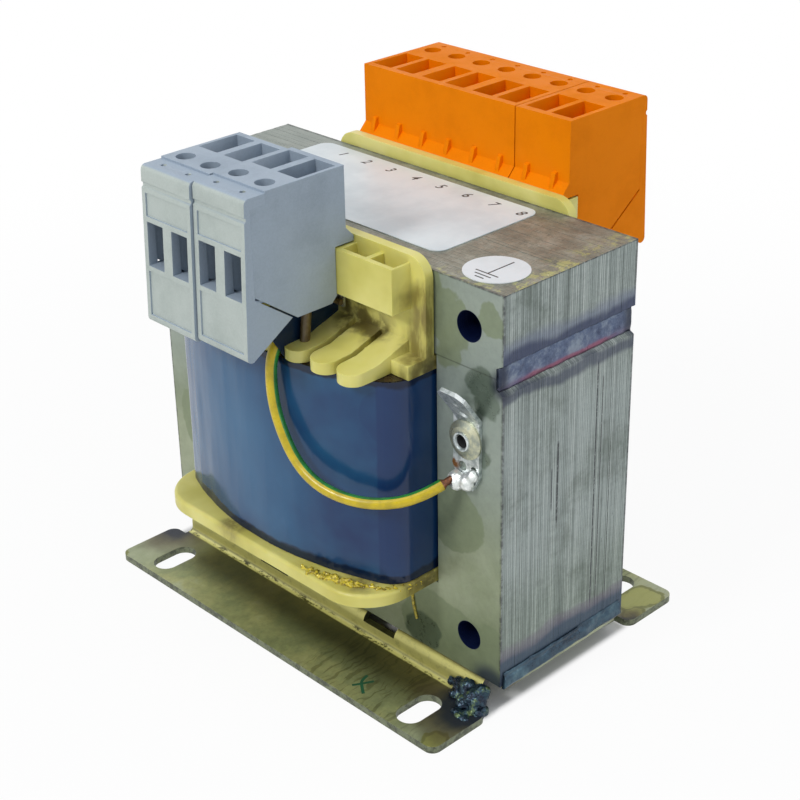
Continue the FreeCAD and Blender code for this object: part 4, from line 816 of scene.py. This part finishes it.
finishes = {
    "zinc_plate": zincChromate(zincLook),
    "lamination_steel": siliconSteel(steelLook),
    "weld_metal": weldSkin(*heapLook),
    "foot_weld": weldSkin(*footLook),
    "seam_weld": seamSkin(seamLook),
    "nylon_yellow": agedNylon(nylonLook),
    "blue_film": blueFilm(filmLook),
    "label_film": labelFilm("#e0eaed", "#d3dee2"),
    # name, body, worn tone, roughness; then gloss and the painted-shade tone of the sides
    "grey_moulding": moulding("greyPolyamide", "#9eacba", "#8a97a4", 0.45),
    # the cover's pale warm front and its cooler sides are painted light and shade on one plastic
    "grey_cover": moulding("greyCoverPolyamide", "#b4bdb7", "#a0aaa4", 0.5, 0.5, "#9eacba"),
    "orange_moulding": moulding("orangePolyamide", "#f58600", "#e67a00", 0.42, 0.05),
    # name, body, dull tone, roughness, size of the grain in mm; then spots and their colour
    "clamp_steel": wornMetal("zincClamp", "#b9b9b0", "#8d8d84", 0.35, 1.2),
    "tinned_brass": wornMetal("tinnedBrass", "#c8cac4", "#a6a89f", 0.28, 1.5),
    "solder": wornMetal("solderTin", "#f7faf8", "#d0d6d3", 0.42, 1.8),
    "washer_zinc": wornMetal("washerZinc", "#c3c3a6", "#8e968c", 0.3, 2.4),
    "copper_strand": wornMetal("copperStrand", "#8a5a40", "#5b4034", 0.4, 0.5),
    "lug_tin": wornMetal(
        "tinnedLug", "#dfe5e5", "#a0aaab", 0.34, 1.3, [((-18.4, -37.2, 50.4), 0.5, 1.1)], "#8a5a2c"
    ),
    # painted shade: the copper's top under the fingers is painted nearly black
    "enamel_copper": plainSoft("copperEnamel", "#2e1d18", "#1d1414", 0.25, 1.2),
    "barrier_film": plainSoft("barrierPaper", "#c9b98a", "#b3a272", 0.5, 4),
    "lead_sleeve": plainSoft("leadSleeve", "#6a5a38", "#54421f", 0.35, 2),
    "wire_insulation": plainSoft("yellowPvc", "#d2b812", "#b8a21a", 0.3, 3),
    "wire_stripe": plainSoft("greenPvc", "#2f8a3c", "#2a6f2e", 0.3, 3),
    "sticker_film": plainSoft("whiteSticker", "#e6eaec", "#dfe3e4", 0.4, 6),
    "ink": plainSoft("blackInk", "#1f2022", "#2a2b2e", 0.5, 3),
    "pen": plainSoft("greenPen", "#0d4b33", "#16593c", 0.45, 2),
    "resin": plainSoft("clearResin", "#e0cb3a", "#7d6b1e", 0.08, 0.7),
}
print("materials made:", len(finishes))


# dressing the CAD pieces
slotOf = {row["node"]: row["material_slot"] for row in frame["record"]["subparts"]}


def finishOf(node):
    if slotOf[node] == "grey_moulding" and node.endswith("_cover"):
        return finishes["grey_cover"]
    if node == "earth_washer":
        return finishes["washer_zinc"]
    return finishes[slotOf[node]]


for node, held in nodes.items():
    if not held.material_slots:
        held.data.materials.append(finishOf(node))
    for holder in held.material_slots:
        holder.material = finishOf(node)


def mergedCopy(node):
    edit = bmesh.new()
    edit.from_mesh(nodes[node].data)
    bmesh.ops.remove_doubles(edit, verts=edit.verts, dist=0.002 * mm)
    bmesh.ops.dissolve_limit(
        edit, angle_limit=math.radians(0.8), verts=edit.verts, edges=edit.edges
    )
    return edit


def placePiece(edit, name, finish, replaced=None, sharp=35):
    # replaced is the CAD node it stands for, which is hidden; a new piece stands for none
    mesh = bpy.data.meshes.new(name)
    edit.to_mesh(mesh)
    edit.free()
    for coat in finish if isinstance(finish, list) else [finish]:
        mesh.materials.append(coat)
    mesh.polygons.foreach_set("use_smooth", [True] * len(mesh.polygons))
    mesh.set_sharp_from_angle(angle=math.radians(sharp))
    piece = bpy.data.objects.new(name, mesh)
    scene.collection.objects.link(piece)
    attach(piece, "root")
    if replaced:
        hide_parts(replaced)
    return piece


def camel(node):
    first, *rest = node.split("_")
    return first + "".join(word.capitalize() for word in rest)


def standIn(edit, node, sharp=35):
    return placePiece(edit, camel(node), finishOf(node), node, sharp=sharp)


def softEdges(node, width):
    # the CAD shape with its edges rounded by width mm, as the mould or the press leaves them
    bevel = standIn(mergedCopy(node), node).modifiers.new("edges", "BEVEL")
    bevel.width = width * mm
    bevel.segments = 2
    bevel.limit_method = "ANGLE"
    bevel.angle_limit = math.radians(40)
    bevel.harden_normals = True


def cutInto(edit, axis, low, high, step):
    # planes across a mesh every step mm, so that its faces are small enough to shape
    count = max(1, round((high - low) / (step * mm)))
    for index in range(1, count):
        point = Vector()
        point[axis] = low + (high - low) * index / count
        normal = Vector()
        normal[axis] = 1
        geometry = edit.verts[:] + edit.edges[:] + edit.faces[:]
        bmesh.ops.bisect_plane(edit, geom=geometry, plane_co=point, plane_no=normal, dist=1e-7)


def turbulence(point, size):
    return noise.fractal(Vector(point) / (size * mm), 1.0, 2.0, 4)  # lumps of about size mm


def sunk(edit, wave, depth, middle, swing):
    # how each point sinks along its normal, by up to depth mm, as the wave at its place says
    shifts = {}
    for vert in edit.verts:
        shifts[vert] = vert.normal * depth * mm * min(1, max(0, middle + swing * wave(vert.co)))
    return shifts


# mouldings, plate and lug with rounded edges, widths in mm
edgeWidths = {"_housing": 0.16, "_cover": 0.2, "coil_former": 0.35, "base_plate": 0.22, "earth_lug": 0.1}
for node in sorted(nodes):
    for ending, width in edgeWidths.items():
        if node.endswith(ending):
            softEdges(node, width)
print("edges rounded")


# core: single sheets, each a little out of line; gap and play in mm
coreSheets = {"count": 71, "gap": 0.02, "play": 0.04, "slide": 0.4, "sharp": 12}


def stackSheets(node, look):
    low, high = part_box(node)
    middle = (low + high) / 2
    pitch = (high.x - low.x) / look["count"]
    pattern = bpy.data.meshes.new("pattern")
    source = mergedCopy(node)
    source.to_mesh(pattern)
    source.free()
    stack = bmesh.new()
    for index in range(look["count"]):
        before = len(stack.verts)
        stack.from_mesh(pattern)
        stack.verts.ensure_lookup_table()
        sheet = stack.verts[before:]
        play = dice.random() * look["play"] * mm if 0 < index < look["count"] - 1 else 0
        factors = (
            (pitch - look["gap"] * mm) / (high.x - low.x),
            1 - play / (high.y - middle.y),
            1 - play / (high.z - middle.z),
        )
        bmesh.ops.scale(stack, vec=factors, space=Matrix.Translation(-middle), verts=sheet)
        sideways = dice.uniform(-look["slide"], look["slide"]) * play
        slide = (low.x + pitch * (index + 0.5) - middle.x, sideways, 0)
        bmesh.ops.translate(stack, vec=slide, verts=sheet)
    standIn(stack, node, look["sharp"])


stackSheets("e_laminations", coreSheets)
stackSheets("i_laminations", coreSheets)
print("core stacked")


# welds: the CAD bead cut into small faces and roughened; step, depth and size of the lumps in mm
beads = {
    "seam_weld": {"step": 0.45, "depth": 0.22, "size": 2.2},
    "foot_weld": {"step": 0.5, "depth": 0.45, "size": 7},
}


def roughBead(side, finish, look):
    node = f"{side}_{finish}"
    low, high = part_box(node)
    edit = mergedCopy(node)
    for axis in range(3):
        cutInto(edit, axis, low[axis], high[axis], look["step"])
    edit.normal_update()
    shifts = sunk(edit, lambda place: turbulence(place, look["size"]), look["depth"], 0.5, 0.8)
    for vert, shift in shifts.items():
        vert.co -= shift
    placePiece(edit, camel(node), finishes[finish], node, 80)


for side in ("right", "left"):
    for finish, look in beads.items():
        roughBead(side, finish, look)


def melted(lumps, look):
    # lumps run together: voxel remesh, then noise; sizes in mm
    draft = placePiece(lumps, "draft", finishes["weld_metal"])
    remesh = draft.modifiers.new("melt", "REMESH")
    remesh.mode = "VOXEL"
    remesh.voxel_size = look["cell"] * mm
    depsgraph = bpy.context.evaluated_depsgraph_get()
    mesh = bpy.data.meshes.new_from_object(draft.evaluated_get(depsgraph))
    bpy.data.objects.remove(draft)
    edit = bmesh.new()
    edit.from_mesh(mesh)
    for _ in range(look["melting"]):
        bmesh.ops.smooth_vert(
            edit, verts=edit.verts, factor=0.5, use_axis_x=True, use_axis_y=True, use_axis_z=True
        )
    edit.normal_update()

    def wave(place):
        return 0.7 * turbulence(place, look["size"]) + 0.3 * turbulence(place * 1.7, look["size"] / 3)

    for vert, shift in sunk(edit, wave, look["depth"], 0.5, 1).items():
        vert.co -= shift
    return edit


def weldHeap(node, look):
    standIn(melted(mergedCopy(node), look), node, 180)


weldHeap("corner_weld", {"cell": 0.22, "melting": 7, "size": 1.7, "depth": 0.5})
weldHeap("solder_joint", {"cell": 0.18, "melting": 2, "size": 1.5, "depth": 0.25})


def lumpsAt(name, finish, spots, look):
    # balls, each a place and a radius in mm, run together
    edit = bmesh.new()
    for place, radius in spots:
        centre = Matrix.Translation(Vector(place) * mm)
        bmesh.ops.create_icosphere(edit, subdivisions=2, radius=radius * mm, matrix=centre)
    placePiece(melted(edit, look), name, finishes[finish], sharp=180)


# spatter run out over the foot, between the heap and the slot, in mm
spatter = {
    "cell": 0.2,
    "melting": 4,
    "size": 1.4,
    "depth": 0.4,
    "lumps": 26,
    "across": (-25.6, -19.8),
    "along": (-46.6, -41.6),
    "height": 1.2,
    "radius": (0.7, 1.35),
}


def spreadSpatter(look):
    spots = []
    for lump in range(look["lumps"]):
        place = (dice.uniform(*look["across"]), dice.uniform(*look["along"]), look["height"])
        spots.append((place, dice.uniform(*look["radius"])))
    lumpsAt("weldSpatter", "weld_metal", spots, look)


spreadSpatter(spatter)
print("welds run")


# coil: film drawn round it, with upright wrinkles that only go inwards, in mm
wrapFolds = {"step": 1.3, "depth": 0.17, "sizes": (5.0, 5.0, 26.0), "sharp": 50}


def drawWrap(node, look):
    low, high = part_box(node)
    edit = mergedCopy(node)
    cutInto(edit, 2, low.z, high.z, look["step"])
    cutInto(edit, 1, low.y, high.y, look["step"])
    edit.normal_update()

    def wave(place):
        spot = Vector([along / size for along, size in zip(place, look["sizes"])]) / mm
        return noise.fractal(spot, 1.0, 2.0, 3)

    for vert, shift in sunk(edit, wave, look["depth"], 0.45, 0.9).items():
        vert.co -= Vector((shift.x, shift.y, 0))
    standIn(edit, node, look["sharp"])


drawWrap("outer_wrap", wrapFolds)
print("coil wrapped")


# wire entries end on a floor behind the cover; depths from the front and heights in mm
entryFloor = {"depth": (2.2, 7.0), "margin": 0.3, "height": (10.4, 11.1)}


def floorEntries(block, look):
    cover = f"{block}_cover"
    low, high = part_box(cover)
    side = -1 if high.x < 0 else 1
    outer = low.x if side < 0 else high.x
    shallow, deep = (outer - side * depth * mm for depth in look["depth"])
    near, far = low.y + look["margin"] * mm, high.y - look["margin"] * mm
    under, over = (low.z + height * mm for height in look["height"])
    middle = Vector((shallow + deep, near + far, under + over)) / 2
    span = (abs(shallow - deep), far - near, over - under, 1)
    edit = bmesh.new()
    bmesh.ops.create_cube(edit, size=1, matrix=Matrix.Translation(middle) @ Matrix.Diagonal(span))
    placePiece(edit, camel(f"{block}_entry_floor"), finishOf(cover))


for block in ("input_block_1", "input_block_2", "output_block_six_way", "output_block_two_way"):
    floorEntries(block, entryFloor)

# eyelet through the lug, turned about its axis with its hole open, in mm
eyelet = {
    "hole": 1.25,
    "corner": 0.45,
    "plug": 2.0,
    "steps": 48,
    # depth from the front and radius of the outline
    "outline": [
        (8.2, 1.25), (0.55, 1.25), (0.1, 1.55), (0.12, 1.8),
        (0.5, 1.9), (0.75, 1.85), (0.75, 1.6), (8.2, 1.6),
    ],
}


def turnEyelet(node, look):
    low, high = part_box(node)
    centre = (low + high) / 2
    edit = bmesh.new()
    dots = []
    for depth, radius in look["outline"]:
        dots.append(edit.verts.new((low.x + depth * mm, centre.y, centre.z + radius * mm)))
    edges = [edit.edges.new(pair) for pair in zip(dots, dots[1:] + dots[:1])]
    bmesh.ops.spin(
        edit, geom=dots + edges, cent=centre, axis=(1, 0, 0), dvec=(0, 0, 0), angle=math.tau,
        steps=look["steps"], use_merge=True,
    )
    bmesh.ops.recalc_face_normals(edit, faces=edit.faces[:])
    # the bore is painted black and closed a little way in by a black disc, painted shade for the dark
    # inside with the core behind
    place = Matrix.Translation((low.x + look["plug"] * mm, centre.y, centre.z))
    turn = Matrix.Rotation(math.radians(90), 4, "Y")
    radius = look["hole"] * mm
    bmesh.ops.create_circle(edit, cap_ends=True, radius=radius, segments=look["steps"], matrix=place @ turn)
    for face in edit.faces:
        spot = face.calc_center_median()
        off = math.hypot(spot.y - centre.y, spot.z - centre.z)
        if off < (look["hole"] + 0.05) * mm and spot.x > low.x + look["corner"] * mm:
            face.material_index = 1
    placePiece(edit, camel(node), [finishOf(node), finishes["ink"]], node, sharp=40)


turnEyelet("earth_rivet", eyelet)

# earth wire: yellow PVC with a green stripe, soldered to the lug and hooked up over the flange
wireLook = {
    "diameter": 2.2,
    "length": 65.2,
    "sides": 16,
    "stripe": (-125, -62),  # degrees round the wire that are green
    "bared": 1.6,  # stripped end
    "strands": 0.62,  # share of the wire's thickness that is copper
    "route": [
        (-25.0, -7.0, 72.2), (-30.6, -7.0, 71.6), (-35.4, -7.6, 68.5), (-35.8, -7.5, 61.0),
        (-35.8, -9.2, 54.5), (-35.8, -13.6, 48.0), (-35.4, -20.0, 44.9), (-33.0, -27.6, 44.0),
        (-28.6, -33.4, 44.6), (-23.5, -36.6, 46.4), (-20.0, -37.9, 48.0),
    ],
}


def splineMesh(route, resolution, width=0):
    # a spline whose control points are the route in mm, as a chain of points or a round rod
    curve = bpy.data.curves.new("spline", "CURVE")
    curve.dimensions = "3D"
    curve.bevel_depth = width / 2 * mm
    curve.bevel_resolution = 2
    curve.use_fill_caps = True
    spline = curve.splines.new("NURBS" if len(route) > 2 else "POLY")
    spline.points.add(len(route) - 1)
    for point, place in zip(spline.points, route):
        point.co = (*(c * mm for c in place), 1)
    spline.order_u = 3
    spline.use_endpoint_u = True
    spline.resolution_u = resolution
    holder = bpy.data.objects.new("spline", curve)
    mesh = bpy.data.meshes.new_from_object(holder)
    bpy.data.objects.remove(holder)
    return mesh


def smoothLine(route):
    return [vert.co.copy() for vert in splineMesh(route, 10).vertices]


def tubeAlong(line, look):
    # a ring carried along the line; faces within the stripe's angles get the second material,
    # and the last stretch is thinner and gets the third
    radius, bared = look["diameter"] / 2 * mm, look["bared"] * mm
    edit = bmesh.new()
    heading = (line[1] - line[0]).normalized()
    turn = Vector((0, 0, 1)).rotation_difference(heading).to_matrix().to_4x4()
    spot = line[0]
    carried = Matrix.Translation(spot) @ turn
    bmesh.ops.create_circle(edit, cap_ends=False, radius=radius, segments=look["sides"], matrix=carried)
    edges = edit.edges[:]
    stripped = False
    for index, target in enumerate(line[1:], 1):
        ahead = line[min(index + 1, len(line) - 1)] - line[index - 1]
        ahead.normalize()
        grown = bmesh.ops.extrude_edge_only(edit, edges=edges)["geom"]
        ring = [item for item in grown if isinstance(item, bmesh.types.BMVert)]
        edges = [item for item in grown if isinstance(item, bmesh.types.BMEdge)]
        bend = heading.rotation_difference(ahead).to_matrix().to_4x4()
        move = Matrix.Translation(target) @ bend @ Matrix.Translation(-spot)
        bmesh.ops.transform(edit, matrix=move, verts=ring)
        carried = move @ carried
        if not stripped and (line[-1] - target).length < bared:
            thin = [look["strands"]] * 3
            bmesh.ops.scale(edit, vec=thin, verts=ring, space=Matrix.Translation(-target))
            stripped = True
        for face in [item for item in grown if isinstance(item, bmesh.types.BMFace)]:
            local = carried.inverted() @ face.calc_center_median()
            angle = math.degrees(math.atan2(local.y, local.x))
            if stripped:
                face.material_index = 2
            elif look["stripe"][0] <= angle <= look["stripe"][1]:
                face.material_index = 1
        spot = target
        heading = ahead
    bmesh.ops.holes_fill(edit, edges=edit.edges[:], sides=0)
    bmesh.ops.recalc_face_normals(edit, faces=edit.faces[:])
    return edit


def layWire(look):
    line = smoothLine(look["route"])
    coats = [finishes[name] for name in ("wire_insulation", "wire_stripe", "copper_strand")]
    wire = placePiece(tubeAlong(line, look), "earthWire", coats, "earth_wire", sharp=60)


layWire(wireLook)
print("earth wire laid")


# thin marks: ink and pen lines laid on a face
def lineMesh(route, width, flat, thickness):
    # a round line through points in mm, flattened along one axis
    mesh = splineMesh(route, 12, width)
    middle = Vector(route[0]) * mm
    factors = [1, 1, 1, 1]
    factors[flat] = thickness / width
    mesh.transform(Matrix.Translation(middle) @ Matrix.Diagonal(factors) @ Matrix.Translation(-middle))
    return mesh


def markLines(name, finish, look):
    edit = bmesh.new()
    for route in look["routes"]:
        route = [(*point, look["height"]) for point in route]
        edit.from_mesh(lineMesh(route, look["width"], 2, look["thickness"]))
    placePiece(edit, name, finishes[finish])


# earth sign on the round sticker: a stem and three bars, in thin dark lines
markLines("earthSign", "ink", {
    "height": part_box("earth_sticker")[1].z / mm,
    "width": 0.34,
    "thickness": 0.03,
    "routes": [
        [(-12.7, -39.5), (-5.9, -39.5)],
        [(-12.7, -36.7), (-12.7, -42.0)],
        [(-13.75, -37.5), (-13.75, -41.2)],
        [(-14.8, -38.5), (-14.8, -40.5)],
    ],
})

# cross drawn on the foot with a green felt pen
markLines("penCross", "pen", {
    "height": 1.5,
    "width": 0.62,
    "thickness": 0.03,
    "routes": [
        [(-28.4, -23.0), (-30.0, -23.2), (-31.2, -24.2), (-32.9, -26.6)],
        [(-32.6, -23.1), (-30.9, -24.2), (-28.8, -25.2)],
    ],
})


# plain figures on the label, one beside each output pole, in mm
figureLook = {
    "size": 3.1,
    "place": 12.2,
    "first": 24.5,
    "pitch": 7.0,
    "poles": 8,
    "slant": 0.25,
    "weight": 0.02,
    "thickness": 0.02,
}


def printFigures(look):
    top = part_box("rating_label")[1].z
    edit = bmesh.new()
    for pole in range(look["poles"]):
        curve = bpy.data.curves.new("figure", "FONT")
        curve.body = str(pole + 1)
        curve.size = look["size"] * mm
        curve.align_x = "CENTER"
        curve.align_y = "CENTER"
        curve.shear = look["slant"]
        curve.offset = look["weight"] * mm
        curve.extrude = look["thickness"] * mm
        holder = bpy.data.objects.new("figure", curve)
        mesh = bpy.data.meshes.new_from_object(holder)
        bpy.data.objects.remove(holder)
        spot = Vector((look["place"] * mm, (look["first"] - pole * look["pitch"]) * mm, top))
        mesh.transform(Matrix.Translation(spot) @ Matrix.Rotation(math.radians(-90), 4, "Z"))
        edit.from_mesh(mesh)
    placePiece(edit, "labelFigures", finishes["ink"])


printFigures(figureLook)
print("marks drawn")


# resin: golden beads between the film and the lower flange, and one drip that set on the core, in mm
beadLook = {
    "cell": 0.17,
    "melting": 1,
    "size": 0.7,
    "depth": 0.3,
    "route": [
        (-35.2, -14.0), (-34.4, -18.8), (-33.5, -22.0), (-32.2, -25.2),
        (-29.9, -29.0), (-27.3, -31.6), (-23.9, -33.3),
    ],
    "height": 25.1,
    "beads": 150,
    "radius": (0.3, 0.75),
    "strayed": 0.8,
    "risen": (-0.3, 0.25),
    # they shrink by this share, from this share of the way on and over this share of it
    "thinning": (0.55, 0.45, 0.25),
}
dripLook = {
    "route": [(-17.9, -25.0, 16.6), (-18.0, -25.2, 14.8), (-17.95, -25.6, 13.0), (-17.95, -26.2, 11.2)],
    "width": 0.62,
    "thickness": 0.5,
}


def setBeads(look):
    line = smoothLine([(x, y, look["height"]) for x, y in look["route"]])
    loss, start, stretch = look["thinning"]
    strayed = (-look["strayed"], look["strayed"])
    spots = []
    for index in range(look["beads"]):
        share = index / (look["beads"] - 1)
        at = line[int(share * (len(line) - 1))] / mm
        thick = 1 - loss * min(1, max(0, (share - start) / stretch))
        radius = dice.uniform(*look["radius"]) * thick
        jitter = (dice.uniform(*strayed), dice.uniform(*strayed), dice.uniform(*look["risen"]))
        spots.append((tuple(at + Vector(jitter)), radius))
    lumpsAt("resinBeads", "resin", spots, look)


def layRod(name, finish, flat, look):
    # one round or flattened rod along a route
    edit = bmesh.new()
    edit.from_mesh(lineMesh(look["route"], look["width"], flat, look["thickness"]))
    placePiece(edit, name, finishes[finish], sharp=60)


setBeads(beadLook)
layRod("resinDrip", "resin", 0, dripLook)
print("resin set")


# film standing up between the coil and the input blocks, and a sleeved winding lead before it, in mm
standingFilm = {
    "place": -8.9,
    "across": (-36.4, -18.4),
    "height": (67.2, 78.0),
    "corner": (-33.5, 67.2),  # its lower outer corner is cut off along "slant"
    "slant": (-4.8, -2.9),
    "thickness": 0.15,
    "wave": 0.25,
    "waveSize": 6,
}
leadLook = {
    "route": [(-28.5, -10.0, 79.0), (-28.8, -10.0, 73.0), (-29.6, -10.1, 68.6)],
    "width": 1.9,
    "thickness": 1.9,
}


def standFilm(look):
    (left, right), (low, high) = look["across"], look["height"]
    middle = Vector(((left + right) / 2, look["place"], (low + high) / 2)) * mm
    shape = (
        Matrix.Translation(middle) @ Matrix.Rotation(math.radians(90), 4, "X")
        @ Matrix.Diagonal(((right - left) / 2 * mm, (high - low) / 2 * mm, 1, 1))
    )
    edit = bmesh.new()
    bmesh.ops.create_grid(edit, x_segments=18, y_segments=10, size=1, matrix=shape)
    corner = Vector((look["corner"][0], look["place"], look["corner"][1])) * mm
    bmesh.ops.bisect_plane(
        edit, geom=edit.verts[:] + edit.edges[:] + edit.faces[:], plane_co=corner,
        plane_no=(look["slant"][0], 0, look["slant"][1]), clear_outer=True,
    )
    for vert in edit.verts:
        vert.co.y += look["wave"] * mm * turbulence(vert.co, look["waveSize"])
    bmesh.ops.solidify(edit, geom=edit.faces[:], thickness=look["thickness"] * mm)
    bmesh.ops.recalc_face_normals(edit, faces=edit.faces[:])
    placePiece(edit, "standingFilm", finishes["blue_film"])


standFilm(standingFilm)
layRod("sleevedLead", "lead_sleeve", 1, leadLook)
print("film and lead stand")
print("pieces placed")
